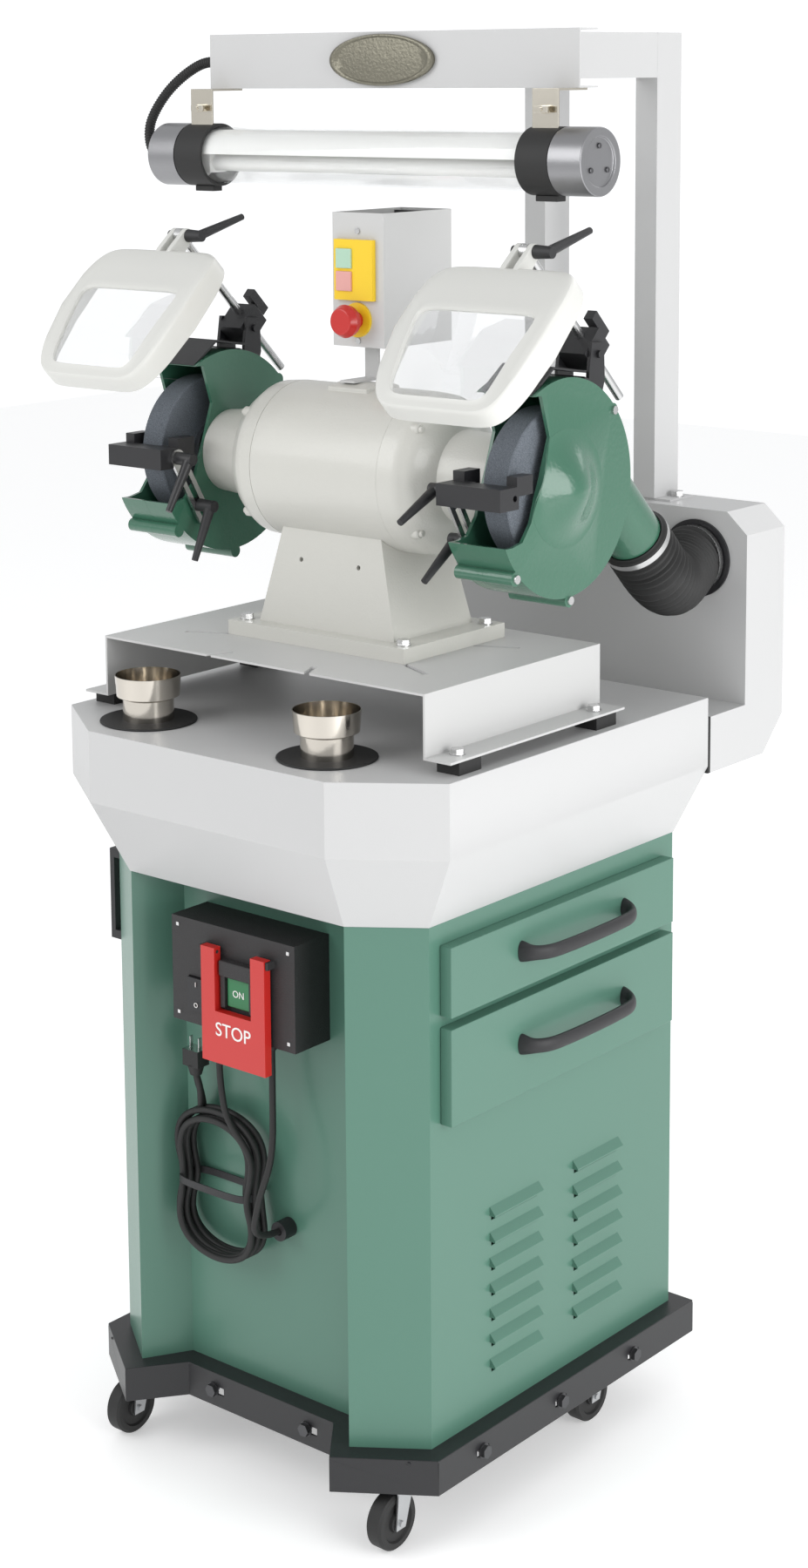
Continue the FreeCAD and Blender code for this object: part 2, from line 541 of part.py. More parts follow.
HOLDER = "lamp_half-cap_long-8"
shade = common(ring("X", "lamp_r-4", "lamp_r-6", (f"-({HOLDER})", *LAMP), f"2*({HOLDER})"),
               box(("-lamp_half", "lamp_half"), ("lamp_y-60", "lamp_y+60"), ("lamp_z+2", "lamp_z+60")))
light_tube = rod("X", "tube_r", (f"-({HOLDER})+36", "lamp_y", "lamp_z-10"), f"2*({HOLDER})-72")
holder = fuse(rod("X", "lamp_r-3", (HOLDER, *LAMP), 10),
              box((f"{HOLDER}-36", HOLDER), ("lamp_y-16", "lamp_y+16"), ("lamp_z-24", "lamp_z+10")))
node("fluorescent_tube", shade, light_tube, holder, mirror(holder))

# ---------------------------------------------------------------- shelf
PAD_TOP = f"{HOUSE_TOP}+pad_high"
SHELF_BACK = "shelf_y+shelf_deep"
plate = box(("-shelf_half", "shelf_half"), ("shelf_y", SHELF_BACK), ("shelf_top-shelf_plate", "shelf_top"))
webs, flanges = [], []
for side in (-1, 1):
    inner_x, web_x, outer_x = "shelf_half-shelf_plate", "shelf_half", "shelf_half+shelf_flange"
    web = (inner_x, web_x) if side > 0 else (f"-({web_x})", f"-({inner_x})")
    flange = (web_x, outer_x) if side > 0 else (f"-({outer_x})", f"-({web_x})")
    webs.append(box(web, ("shelf_y", SHELF_BACK), (PAD_TOP, "shelf_top-shelf_plate")))
    flanges.append(box(flange, ("shelf_y", SHELF_BACK), (PAD_TOP, f"{PAD_TOP}+shelf_plate")))
slot_tools = []
for angle in (25, 65, 115, 155, 205, 245, 295, 335):
    slot = box((168, 232), (-4, 4), (-10, 10))
    slot_tools.append(moved(slot, 0, "shelf_y+shelf_deep/2", "shelf_top", Z, angle))
pads = []
bolt_spots = []
for side in (-1, 1):
    for y in ("shelf_y+18", f"{SHELF_BACK}-62"):
        inner_x, outer_x = "shelf_half+4", "shelf_half+shelf_flange-1"
        x = (inner_x, outer_x) if side > 0 else (f"-({outer_x})", f"-({inner_x})")
        pads.append(box(x, (y, f"{y}+44"), (HOUSE_TOP, PAD_TOP)))
        bolt_spots.append((f"{side}*(shelf_half+19)", f"{y}+22"))
foot_spots = [(f"{side_x}*(foot_half-17)", f"shaft_y+{side_y}*(foot_deep/2-20)")
              for side_x in (-1, 1) for side_y in (-1, 1)]
slot_tools += [rod("Z", 5.5, (*spot, "shelf_top-10"), 20) for spot in foot_spots]
flange_holes = [rod("Z", 4, (*spot, f"{PAD_TOP}-6"), 20) for spot in bolt_spots]
flanges = [cut(flange, *flange_holes) for flange in flanges]
pads = [cut(pad, *flange_holes) for pad in pads]
node("bench_shelf", cut(plate, *slot_tools), *webs, *flanges, *pads)

# ---------------------------------------------------------------- grinder
AXIS = ("shaft_y", "shaft_z")
FOOT_Y = "shaft_y-foot_deep/2"
foot = box(("-foot_half", "foot_half"), (FOOT_Y, "shaft_y+foot_deep/2"), ("shelf_top", "shelf_top+foot_high"))
low_plan = [("-118", "shaft_y-82"), ("118", "shaft_y-82"), ("118", "shaft_y+82"), ("-118", "shaft_y+82")]
high_plan = [("-80", "shaft_y-66"), ("80", "shaft_y-66"), ("80", "shaft_y+66"), ("-80", "shaft_y+66")]
column = loft(low_plan, "shelf_top+foot_high-1", high_plan, "shaft_z-60")
saddle = rod("X", "drum_r", ("-200", *AXIS), 400)
foot_holes = [rod("Z", 5.5, (*spot, "shelf_top-1"), "foot_high+2") for spot in foot_spots]
front_holes = [rod("Y", 3.2, (x, "shaft_y-90", "shelf_top+109"), 36) for x in (-50, 50)]
core = rod("Z", 46, (0, "shaft_y", "shelf_top-1"), 90)
node("pedestal", cut(fuse(foot, column), saddle, *foot_holes, *front_holes, core))

drum = ring("X", "drum_r", "drum_r-drum_wall", ("-drum_half", *AXIS), "2*drum_half")
terminal_pad = common(box(("-34", "34"), ("shaft_y-34", "shaft_y+34"), ("shaft_z+drum_r-12", "shaft_z+drum_r+5")),
                      rod("X", "drum_r+5", ("-40", *AXIS), 80))
drum_pad = cut(terminal_pad, rod("X", "drum_r-1", ("-50", *AXIS), 100))
node("motor_shell", fuse(drum, drum_pad))

rim = "drum_r-drum_wall"
bell_profile = [("drum_half", rim), ("drum_half", "drum_r"), ("drum_half+26", "drum_r-2"),
                ("drum_half+44", "drum_r-14"), ("drum_half+56", "drum_r-32"), ("drum_half+63", "neck_r+5"),
                ("neck_end", "neck_r"), ("neck_end", "shaft_r+6"), ("bearing_x+bearing_wide", "shaft_r+6"),
                ("bearing_x+bearing_wide", "bearing_r"), ("bearing_x", "bearing_r"),
                ("bearing_x", "bearing_r+8"), ("drum_half+36", "drum_r-30"), ("drum_half+18", "drum_r-12")]
bell = turned("X", bell_profile, (0, *AXIS))
node("end_bells", bell, mirror(bell))

bearing = ring("X", "bearing_r", "shaft_r+run_gap", ("bearing_x", *AXIS), "bearing_wide")
stator = ring("X", rim, "rotor_r+1.5", ("-stator_half", *AXIS), "2*stator_half")
node("stator", stator, bearing, mirror(bearing))

shaft = rod("X", "shaft_r", ("-stone_x-stone_wide/2-21", *AXIS), "2*(stone_x+stone_wide/2+21)")
rotor = ring("X", "rotor_r", "shaft_r", ("-stator_half", *AXIS), "2*stator_half")
inner_flange = ring("X", "flange_r", "shaft_r", ("stone_x-stone_wide/2-flange_wide", *AXIS), "flange_wide")
outer_flange = ring("X", "flange_r", "shaft_r", ("stone_x+stone_wide/2", *AXIS), "6")
nut = cut(prism("YZ", [(f"{20 * math.cos(math.radians(a)):.3f}", f"{20 * math.sin(math.radians(a)):.3f}")
                       for a in range(0, 360, 60)], "0", "10"), rod("X", "shaft_r", (-1, 0, 0), 12))
nut = moved(nut, "stone_x+stone_wide/2+6", *AXIS)
hardware = [inner_flange, outer_flange, nut]
node("arbor", shaft, rotor, *hardware, *[mirror(thing) for thing in hardware])

stone = turned("X", [("-stone_wide/2", "shaft_r"), ("-stone_wide/2", "stone_r-1.5"),
                     ("-stone_wide/2+1.5", "stone_r"), ("stone_wide/2-1.5", "stone_r"),
                     ("stone_wide/2", "stone_r-1.5"), ("stone_wide/2", "shaft_r")], ("stone_x", *AXIS))
node("grinding_wheels", stone, mirror(stone))

DRAWN_R = 140
# The guard's open front, drawn about the shaft: y to the back, z up.
WINDOW = [(-260, 124), (-53, 122), (-36, 69), (-54, 18), (-64, -5), (-74, -34), (-92, -56), (-112, -60),
          (-260, -60)]


def guard_window(low, high):
    points = [(f"guard_r*{u}/{DRAWN_R}", f"guard_r*{v}/{DRAWN_R}") for u, v in WINDOW]
    return moved(prism("YZ", points, low, high), 0, *AXIS)


GUARD_IN = "neck_end"


def rim_point(u, v):
    """A point on the guard's side view that moves with the guard's radius."""
    return (f"shaft_y+guard_r*{u}/{DRAWN_R}", f"shaft_z+guard_r*{v}/{DRAWN_R}")


EAR_SPOTS = [rim_point(101, 89), rim_point(-106, -100), rim_point(6, -144)]
cavity = rod("X", "guard_r-guard_wall", (f"{GUARD_IN}+guard_wall", *AXIS), f"guard_out-{GUARD_IN}-2*guard_wall")
CHUTE = ("guard_split", "shaft_y+chute_y", "shaft_z+chute_z")


def chute_bore(radius, back, length):
    """A cylinder on the chute's axis, which runs down and back at 45 degrees."""
    bore = rod("Z", radius, (0, 0, f"-({back})"), length)
    return moved(bore, *CHUTE, X, -135)


inner_half = cut(fuse(rod("X", "guard_r", (GUARD_IN, *AXIS), f"guard_split-{GUARD_IN}"),
                      *[rod("X", 9, (GUARD_IN, *spot), f"guard_split-{GUARD_IN}") for spot in EAR_SPOTS]),
                 cavity, guard_window("neck_end-5", "guard_split+5"),
                 rod("X", "shaft_r+6", ("neck_end-5", *AXIS), 20), chute_bore("chute_r-chute_wall", 150, 150))
chute = cut(chute_bore("chute_r", "245-guard_r", "245-guard_r"),
            chute_bore("chute_r-chute_wall", "246-guard_r", "248-guard_r"),
            rod("X", "guard_r", ("guard_split-60", *AXIS), 120))
node("inner_guards", inner_half, chute, mirror(inner_half), mirror(chute))

dome_ball = doc.addObject("Part::Sphere", "Dome")
DOME_R = "(dome_r^2+dome_high^2)/(2*dome_high)"
bind(dome_ball, Radius=DOME_R)
place(dome_ball, f"guard_out+dome_high-{DOME_R}", *AXIS)
dome = common(dome_ball, rod("X", "dome_r+2", ("guard_out-0.5", *AXIS), "dome_high+2"))
cover = cut(fuse(rod("X", "guard_r", ("guard_split", *AXIS), "guard_out-guard_split"), dome,
                 *[rod("X", 9, ("guard_split", *spot), "guard_out-guard_split") for spot in EAR_SPOTS]),
            cavity, guard_window("guard_split-5", "guard_out+40"), rod("X", 30, ("guard_out-6", *AXIS), 14.5),
            chute_bore("chute_r-chute_wall", 150, 150))
node("guard_covers", cover, mirror(cover))

# ---------------------------------------------------------------- dust hoses
START_Y, START_Z = size("shaft_y+chute_y"), size("shaft_z+chute_z")
PORT_Y, PORT_Z = size("duct_face-4"), size("port_z")
X0, X1 = size("guard_split"), size("port_x")
HOSE = [(X0, START_Y, START_Z), (X0, START_Y + 52, START_Z - 52), (X0 - 20, START_Y + 128, START_Z - 70),
        (X1, PORT_Y - 60, PORT_Z), (X1, PORT_Y, PORT_Z)]
hose = swept(HOSE, size("hose_r"), size("hose_r-hose_wall"))
node("dust_hoses", hose, mirror(hose))

# ---------------------------------------------------------------- eye shields and their mountings
NORMAL = 45.0


def tilted(thing, x, y, z):
    """Turn a piece drawn flat so that its own +Z faces up and forward at 45 degrees."""
    return moved(thing, x, y, z, X, NORMAL)


brackets = []
for side in SIDES.values():
    x = f"{side}*shield_x"
    ears = []
    for end in (-1, 1):
        low = f"{x}+{end}*24.5-2.5"
        ears.append(prism("YZ", [rim_point(58, 112), rim_point(86, 104), rim_point(94, 128),
                                 ("pivot_y+12", "pivot_z+14"), ("pivot_y-14", "pivot_z+16"), rim_point(60, 140)],
                          low, f"{low}+5"))
    (belt_front, belt_low), (belt_back, belt_top) = rim_point(50, 60), rim_point(90, 150)
    belt = common(rod("X", "guard_r+5", (f"{x}-27", *AXIS), 54),
                  box((f"{x}-27", f"{x}+27"), (belt_front, belt_back), (belt_low, belt_top)))
    saddle = cut(fuse(belt, *ears), rod("X", "guard_r+0.3", (f"{x}-60", *AXIS), 120),
                 rod("X", 5, (f"{x}-60", "pivot_y", "pivot_z"), 120))
    pin = rod("X", 5, (f"{x}-31", "pivot_y", "pivot_z"), 62)
    spark = prism("YZ", [rim_point(-92, 106), rim_point(-90, 104), rim_point(-20, 152), rim_point(48, 141),
                         rim_point(48, 144), rim_point(-21, 155)],
                  f"{side}*guard_split-40", f"{side}*guard_split+40")
    brackets += [saddle, pin, cut(spark, rod("X", "guard_r+0.3", (f"{side}*guard_split-60", *AXIS), 120))]
node("shield_brackets", *brackets)

for name, side in SIDES.items():
    x = f"{side}*shield_x"
    block = box(("-21.5", "21.5"), ("-15", "rod_side+rod_r+9"), ("-17", "17"))
    knob_stem = rod("Y", 5, (0, "rod_side+rod_r+9", 0), 13)
    knob_bar = box(("-7", "7"), ("rod_side+rod_r+20", "rod_side+rod_r+34"), ("-20", "20"))
    block = cut(block, rod("X", "5+run_gap", ("-30", "0", "0"), 60),
                rod("Z", "rod_r+run_gap", ("0", "rod_side", "-30"), 60))
    knob = fuse(knob_stem, knob_bar)
    node(f"pivot_block_{name}", tilted(group(block, knob), x, "pivot_y", "pivot_z"))
    slide_rod = rod("Z", "rod_r", ("0", "rod_side", "-(rod_long-rod_up)"), "rod_long-16")
    eye = cut(fuse(slide_rod, rod("X", 10, ("-6", "rod_side", "rod_up-8"), 12),
                   box(("-6", "6"), ("rod_side-6", "rod_side+6"), ("rod_up-26", "rod_up-8"))),
              rod("X", "4+run_gap", ("-20", "rod_side", "rod_up-8"), 40))
    node(f"shield_rod_{name}", tilted(eye, x, "pivot_y", "pivot_z"))

# The shield is drawn from its top edge down: x across, -y down the slope, +z out of its face.
HALF = "shield_half"
SHIELD_RIGHT = [(f"{HALF}-40", "-shield_long"), (f"{HALF}-22", "-shield_long+18"), (f"{HALF}-4", "-0.6*shield_long"),
                (HALF, "-0.35*shield_long"), (f"{HALF}-4", -20), (f"{HALF}-20", 0)]
SHIELD = SHIELD_RIGHT + [(f"-({u})", v) for u, v in reversed(SHIELD_RIGHT)]
INNER = [(f"({u})*0.953", f"({v})*0.965-4") for u, v in SHIELD]


def glazing(margin, top, bottom):
    """The window's trapezoid, narrower below, with a margin at each side."""
    right = [(f"{HALF}-({margin})-20", bottom), (f"{HALF}-({margin})", top)]
    return right + [(f"-({u})", v) for u, v in reversed(right)]


for name, side in SIDES.items():
    reach = "(rod_up-8)"
    hinge = (f"{side}*shield_x", f"pivot_y-({reach}-rod_side)*0.70711",
             f"pivot_z+({reach}+rod_side)*0.70711")
    low, high = "-14", "shield_thick-14"
    frame = cut(prism("XY", SHIELD, low, high), prism("XY", INNER, "-15", f"{high}-shield_wall"),
                prism("XY", glazing("27", "-0.29*shield_long", "-0.92*shield_long"), "-16", f"{high}+1"))
    lens = prism("XY", glazing("21", "-0.26*shield_long", "-0.95*shield_long"),
                 f"{high}-shield_wall-lens_thick", f"{high}-shield_wall")
    lowered = moved(group(frame), 0, "-shield_drop", 0)
    cheeks = [fuse(rod("X", 10, (at_x, 0, 0), 8), box((at_x, f"{at_x}+8"), ("-shield_drop-8", 0), (-9, 10)))
              for at_x in (-14.05, 6.05)]
    frame = cut(fuse(lowered, *cheeks), rod("X", "4+run_gap", (-30, 0, 0), 60),
                box((-6.05, 6.05), (-24, 12), (-16, 14)))
    node(f"eye_shield_{name}", tilted(group(frame, moved(lens, 0, "-shield_drop", 0)), *hinge))
    screw = rod("X", 4, (-20, 0, 0), 36)
    hub = cone("X", 9, 7.5, (14.3, 0, 0), 26)
    arm = moved(cone("Z", 7, 4.5, (0, 0, 0), 92), 32, 0, 0, X, -76)
    cap_nut = rod("X", 7, (-20, 0, 0), 5.8)
    node(f"shield_lever_{name}", moved(fuse(screw, hub, arm, cap_nut), *hinge))

# ---------------------------------------------------------------- tool rests
ARM_SLOPE = 30.0
LEVER_TURNS = {"left": (148, 155), "right": (115, 125)}


def lever(x, y, z, side, stud, turn):
    """A clamping lever on a stud along X, its handle turned down and forward from straight up."""
    hub = cone("X", 9, 8, (0, 0, 0), 28)
    screw = rod("X", 4, (f"-({stud})", 0, 0), f"{stud}+1")
    handle = moved(cone("Z", 7.5, 4.5, (0, 0, 0), 78), 20, 0, 0, X, turn)
    piece = fuse(hub, screw, handle)
    return moved(piece if side < 0 else mirror(piece), x, y, z)


clamps = []
for name, side in SIDES.items():
    upper_turn, lower_turn = LEVER_TURNS[name]
    bar = fuse(box((0, "arm_thick"), ("-arm_wide/2", "arm_wide/2"), ("-arm_long", 0)),
               rod("X", "arm_wide/2", (0, 0, 0), "arm_thick"),
               rod("X", "arm_wide/2", (0, 0, "-arm_long"), "arm_thick"))
    bar = cut(bar, box((-1, "arm_thick+1"), (-4.5, 4.5), ("-arm_long-4", -26)), rod("X", 4.1, (-1, 0, 0), 8))
    node(f"rest_arm_{name}", moved(bar, f"{side}*arm_x-arm_thick/2", "arm_y", "arm_z", X, ARM_SLOPE))
    inner_face = f"{side}*(arm_x-arm_thick/2-0.2)"
    top_lever = lever(inner_face, "arm_y", "arm_z", side, "22", upper_turn)
    near, far = "arm_x+arm_thick/2+0.3", "arm_x+arm_thick/2+2*rest_half+0.3"
    span = (near, far) if side > 0 else (f"-({far})", f"-({near})")
    table = box(span, ("arm_y-30", "arm_y+8"), ("arm_z-14", "arm_z+14"))
    horns = [box((low, f"{low}+18"), ("arm_y+4", "arm_y+36"), ("arm_z+2", "arm_z+26"))
             for low in (span[0], f"{span[1]}-18")]
    gap = box((f"{side}*stone_x-stone_wide/2-6", f"{side}*stone_x+stone_wide/2+6"),
              ("arm_y+2", "arm_y+60"), ("arm_z-30", "arm_z+40"))
    rest = cut(fuse(table, *horns), rod("X", 4, (f"{span[0]}-2", "arm_y", "arm_z"), "2*rest_half+4"), gap)
    node(f"tool_rest_{name}", rest, top_lever)
    clamp_y = f"arm_y+clamp_down*{math.sin(math.radians(ARM_SLOPE)):.5f}"
    clamp_z = f"arm_z-clamp_down*{math.cos(math.radians(ARM_SLOPE)):.5f}"
    clamps.append(lever(inner_face, clamp_y, clamp_z, side, "neck_end-arm_x+arm_thick/2+0.2", lower_turn))
    reach = "arm_x+arm_thick/2+0.3"
    spacer_x = reach if side > 0 else "-neck_end"
    clamps.append(ring("X", 9, 4, (spacer_x, clamp_y, clamp_z), f"neck_end-({reach})"))

# ---------------------------------------------------------------- control box over the motor
CTL_X = ("-ctl_half", "ctl_half")
CTL_Y = ("ctl_y", "ctl_y+ctl_deep")
CTL_Z = ("ctl_z", "ctl_z+ctl_high")
BUTTONS = {"start_button": "ctl_z+117", "stop_button": "ctl_z+87"}
BUTTON_X = (-31, -5)
STOP_Z = "ctl_z+36"
casing = box_walls(CTL_X, CTL_Y, CTL_Z, "2")
divider = box(("-ctl_half+2", "ctl_half-2"), ("ctl_y+ctl_deep-16", "ctl_y+ctl_deep-12"),
              ("ctl_z+2", "ctl_z+ctl_high-3"))
plate = box((-36, 30), ("ctl_y-7", "ctl_y"), ("ctl_z+62", "ctl_z+142"))
collar = rod("Y", 23, (0, "ctl_y-4", STOP_Z), 4)
bores = [box((f"{BUTTON_X[0]}-run_gap", f"{BUTTON_X[1]}+run_gap"), ("ctl_y-10", "ctl_y+10"),
             (f"{z}-13-run_gap", f"{z}+13+run_gap")) for z in BUTTONS.values()]
stop_bore = rod("Y", "11+run_gap", (0, "ctl_y-10", STOP_Z), 20)
strip = fuse(box((-20, 4), ("shaft_y-24", "shaft_y+30"), ("shaft_z+drum_r+5", "shaft_z+drum_r+8")),
             box((-20, 4), ("shaft_y+27", "shaft_y+30"), ("shaft_z+drum_r+5", "ctl_z")),
             box((-20, 4), ("shaft_y+27", "shaft_y+80"), ("ctl_z-3", "ctl_z")))
contacts = [box((-32, 20), ("ctl_y+24", "ctl_y+60"), (f"{z}-12", f"{z}+12"))
            for z in ("ctl_z+36", "ctl_z+87", "ctl_z+117")]
rail = box((-32, 20), ("ctl_y+60", "ctl_y+ctl_deep-16"), ("ctl_z+24", "ctl_z+128"))
casing = [cut(wall, *bores, stop_bore) for wall in casing]
node("control_box", *casing, divider, cut(plate, *bores), cut(collar, stop_bore), strip,
     fuse(rail, *contacts))
for name, z in BUTTONS.items():
    node(name, box(BUTTON_X, ("ctl_y-10", "ctl_y+18"), (f"{z}-13", f"{z}+13")))
node("estop_button", fuse(rod("Y", 11, (0, "ctl_y-20", STOP_Z), 36),
                          cone("Y", 22, 20, (0, "ctl_y-28", STOP_Z), 10),
                          cone("Y", 17, 22, (0, "ctl_y-38", STOP_Z), 10)))

# ---------------------------------------------------------------- magnetic switch box
MAG_X = ("-mag_half", "mag_half")
FACE = "mag_y"
mag = cut(box(MAG_X, (FACE, PANEL_Y), ("mag_z", "mag_z+mag_high")),
          box(("-mag_half+4", "mag_half-4"), (f"{FACE}+4", f"{PANEL_Y}-4"), ("mag_z+4", "mag_z+mag_high-4")))
ROCKER = {"x": (-78, -46), "z": ("mag_z+19", "mag_z+64")}
ON = {"x": (-5, 35), "z": ("mag_z+40", "mag_z+79")}


def grown(pair, gap):
    return (f"({pair[0]})-{gap}", f"({pair[1]})+{gap}")


windows = [box(grown(ROCKER["x"], 0.3), (f"{FACE}-1", f"{FACE}+6"), grown(ROCKER["z"], 1.5)),
           box(grown(ON["x"], 0.05), (f"{FACE}-1", f"{FACE}+6"), grown(ON["z"], 0.05))]
HINGE_Y, HINGE_Z = f"{FACE}-10", "mag_z+112"
lugs = []
for near, far in ((-46, -41.5), (70.5, 75)):
    lugs.append(box((near, far), (f"{HINGE_Y}-4", FACE), (f"{HINGE_Z}-5", f"{HINGE_Z}+5")))
pins = [rod("X", 2.5, (-46, HINGE_Y, HINGE_Z), 29), rod("X", 2.5, (46, HINGE_Y, HINGE_Z), 29)]
reliefs = [cut(cone("Z", 6.5, 9, (x, "mag_y+34", "mag_z-20"), 20),
               rod("Z", "cord_r", (x, "mag_y+34", "mag_z-21"), 12)) for x in ("relief_x", "link_x")]
ROCKER_AXIS = (f"{FACE}+2", "mag_z+41.5")
rocker_bore = rod("X", "1.5+run_gap", (-81, *ROCKER_AXIS), 38)
frame = fuse(cut(mag, *windows, rocker_bore), *lugs, *pins)
node("switch_box", frame, *reliefs)
node("rocker_switch", fuse(box(ROCKER["x"], (f"{FACE}-4", f"{FACE}+5"), ROCKER["z"]),
                           rod("X", 1.5, (-80, *ROCKER_AXIS), 36)))
node("on_button", box(ON["x"], (f"{FACE}-5", f"{FACE}+12"), ON["z"]))
paddle = prism("XZ", [(-41, "mag_z-36"), (70, "mag_z-36"), (70, "mag_z+118"), (46, "mag_z+118"),
                      (46, "mag_z+34"), (-17, "mag_z+34"), (-17, "mag_z+118"), (-41, "mag_z+118")],
               f"{FACE}-16", f"{FACE}-4")
node("stop_paddle", cut(paddle, rod("X", "2.5+run_gap", (-60, HINGE_Y, HINGE_Z), 150)))

# ---------------------------------------------------------------- quench cups
CUP_PROFILE = [(0, 0), (34, 0), (34, 28), ("cup_r-2", 32), ("cup_r", "cup_high"), ("cup_r-cup_wall", "cup_high"),
               ("cup_r-2-cup_wall", "32+cup_wall/2"), ("34-cup_wall", "28+cup_wall/2"),
               ("34-cup_wall", "cup_wall"), (0, "cup_wall")]
for name in SIDES:
    node(f"quench_cup_{name}", turned("Z", CUP_PROFILE, (f"cup_{name}", "cup_y", f"{HOUSE_TOP}+mat_high")))

# ---------------------------------------------------------------- dust blower in the cabinet
FAN = (-60, 380)
FLOOR = "base_top+sheet_wall"
stand = box((-130, 10), (310, 450), (FLOOR, f"{FLOOR}+10"))
fan_motor = cut(rod("Z", 62, (*FAN, f"{FLOOR}+10"), 158), rod("Z", "8+run_gap", (*FAN, f"{FLOOR}+100"), 80))
drum = cut(rod("Z", 150, (*FAN, 300), 110), rod("Z", 146, (*FAN, 304), 102), rod("Z", 9, (*FAN, 299), 8),
           rod("Z", 50, (*FAN, 400), 20), box((60, 120), (340, 440), (320, 390)))
elbow = cut(box((-262, 0), (320, 440), (410, 500)), box((-259, -3), (323, 437), (413, 497)),
            box((-259, -183), (323, 437), (490, 505)), rod("Z", 50, (*FAN, 405), 10))
riser = cut(box((-262, -180), (320, 440), (500, CAB_TOP)),
            box((-259, -183), (323, 437), (499, f"{CAB_TOP}+1")))
filter_pack = box((-255, -187), (327, 433), (560, 700))
node("dust_blower", stand, fan_motor, drum, elbow, riser, filter_pack)
blades = []
for k in range(8):
    blade = box((40, 125), (-1.5, 1.5), (312, 360))
    blades.append(moved(blade, *FAN, 0, Z, 45 * k))
node("blower_impeller", fuse(rod("Z", 8, (*FAN, f"{FLOOR}+110"), 130), rod("Z", 24, (*FAN, 310), 56),
                             rod("Z", 130, (*FAN, 308), 4), *blades))

# ---------------------------------------------------------------- fasteners
def bolt(x, y, z, shank, length):
    """A hexagon-head bolt with its washer, standing on a surface, its shank down."""
    head = prism("XY", [(f"{9 * math.cos(math.radians(a)):.3f}", f"{9 * math.sin(math.radians(a)):.3f}")
                        for a in range(0, 360, 60)], "1.6", "7.5")
    return moved(fuse(head, rod("Z", 10, (0, 0, 0), 1.6), rod("Z", shank, (0, 0, f"-({length})"), f"{length}+1")),
                 x, y, z)


screws = [bolt(x, y, f"{PAD_TOP}+shelf_plate", 4, "shelf_plate+4") for x, y in bolt_spots]
screws += [bolt(x, y, "shelf_top+foot_high", 5, "foot_high+shelf_plate+6") for x, y in foot_spots]
screws += [bolt(*spot, "duct_top+3", 4, "10") for spot in frame_bolts]
turns = []
for slot_x in (-84, 84):
    turns.append((slot_x, "base_front+base_recess_y-0.2", X, 90))
for slot_y in ("base_front+172", "base_front+342", "base_front+512"):
    turns.append(("base_half+0.2", slot_y, Y, 90))
    turns.append(("-base_half-0.2", slot_y, Y, -90))
for x, y, axis, angle in turns:
    screws.append(moved(bolt(0, 0, 0, 4, "8"), x, y, "base_top-24", axis, angle))
for side in SIDES.values():
    for y, z in EAR_SPOTS:
        low = "guard_out" if side > 0 else "-guard_out-3.5"
        screws.append(rod("X", 5.5, (low, y, z), 3.5))
for z in ("ctl_z+8", "ctl_z+153"):
    screws.append(rod("Y", 4, (0, "ctl_y-2", z), 2))
for side in SIDES.values():
    band = ring("Z", "hose_r+2", "hose_r", (0, 0, 6), 9)
    screws.append(moved(band, f"{side}*guard_split", *CHUTE[1:], X, -135))
    screws.append(ring("Y", "hose_r+2", "hose_r", (f"{side}*port_x", "duct_face-16", "port_z"), 9))
node("fasteners", *screws, *clamps)

# ---------------------------------------------------------------- cords
RELIEF_Y = size("mag_y+34")
RELIEF_Z = size("mag_z-9")
HANK_Y = (74, 106)
HANK_TOP = 505
hank = prism("XZ", [(-150, 392), (-142, 468), (-112, HANK_TOP), (-50, HANK_TOP), (-12, 472), (14, 430),
                    (10, 360), (-18, 318), (-70, 305), (-122, 322)], *HANK_Y)
tie = cut(box((-98, -84), (HANK_Y[0] - 3, HANK_Y[1] + 3), (302, HANK_TOP - 30)),
          box((-99, -83), (HANK_Y[0] - 0.01, HANK_Y[1] + 0.01), (300, HANK_TOP - 33)))
node("cord_hank", hank, tie)
FALL_X = -66
MAINS = [(size("relief_x"), RELIEF_Y, RELIEF_Z), (size("relief_x"), RELIEF_Y, RELIEF_Z - 50),
         (FALL_X, 90, HANK_TOP + 42), (FALL_X, 90, HANK_TOP)]
node("mains_cord", swept(MAINS, size("cord_r")))
PLUG_X = -100
lead = swept([(PLUG_X, 90, HANK_TOP), (PLUG_X, 90, HANK_TOP + 24), (PLUG_X - 4, 86, HANK_TOP + 46)],
             size("cord_r"))
plug_body = fuse(cone("Z", 8, 12, (0, 0, 0), 14), box((-14, 14), (-11, 11), (13, 36)),
                 box((-8.5, -7), (-3, 3), (35, 52)), box((7, 8.5), (-3, 3), (35, 52)))
node("plug", lead, moved(plug_body, PLUG_X - 4, 86, HANK_TOP + 45.5))
LINK = [(size("link_x"), RELIEF_Y, RELIEF_Z), (size("link_x"), RELIEF_Y, RELIEF_Z - 70),
        (size("link_x") + 16, RELIEF_Y - 18, RELIEF_Z - 150), (size("gland_x") + 8, 48, size("gland_z") + 62),
        (size("gland_x"), 42, size("gland_z")), (size("gland_x"), size("cab_front+cab_recess_y-4"), size("gland_z"))]
node("link_cord", swept(LINK, size("cord_r")))
LAMP_END = -size("lamp_half-3") - 0.3
LAMP_Y, LAMP_Z = size("lamp_y"), size("lamp_z")
BEAM_Z = size("light_top-beam_high/2")
BEAM_Y = size("beam_y+beam_flange/2")
CONDUIT = [(-300, BEAM_Y, BEAM_Z), (-352, BEAM_Y - 2, BEAM_Z - 4), (-402, 374, BEAM_Z - 40),
           (-420, 350, BEAM_Z - 86), (-414, LAMP_Y, LAMP_Z), (LAMP_END, LAMP_Y, LAMP_Z)]
node("lamp_conduit", swept(CONDUIT, size("conduit_r")))

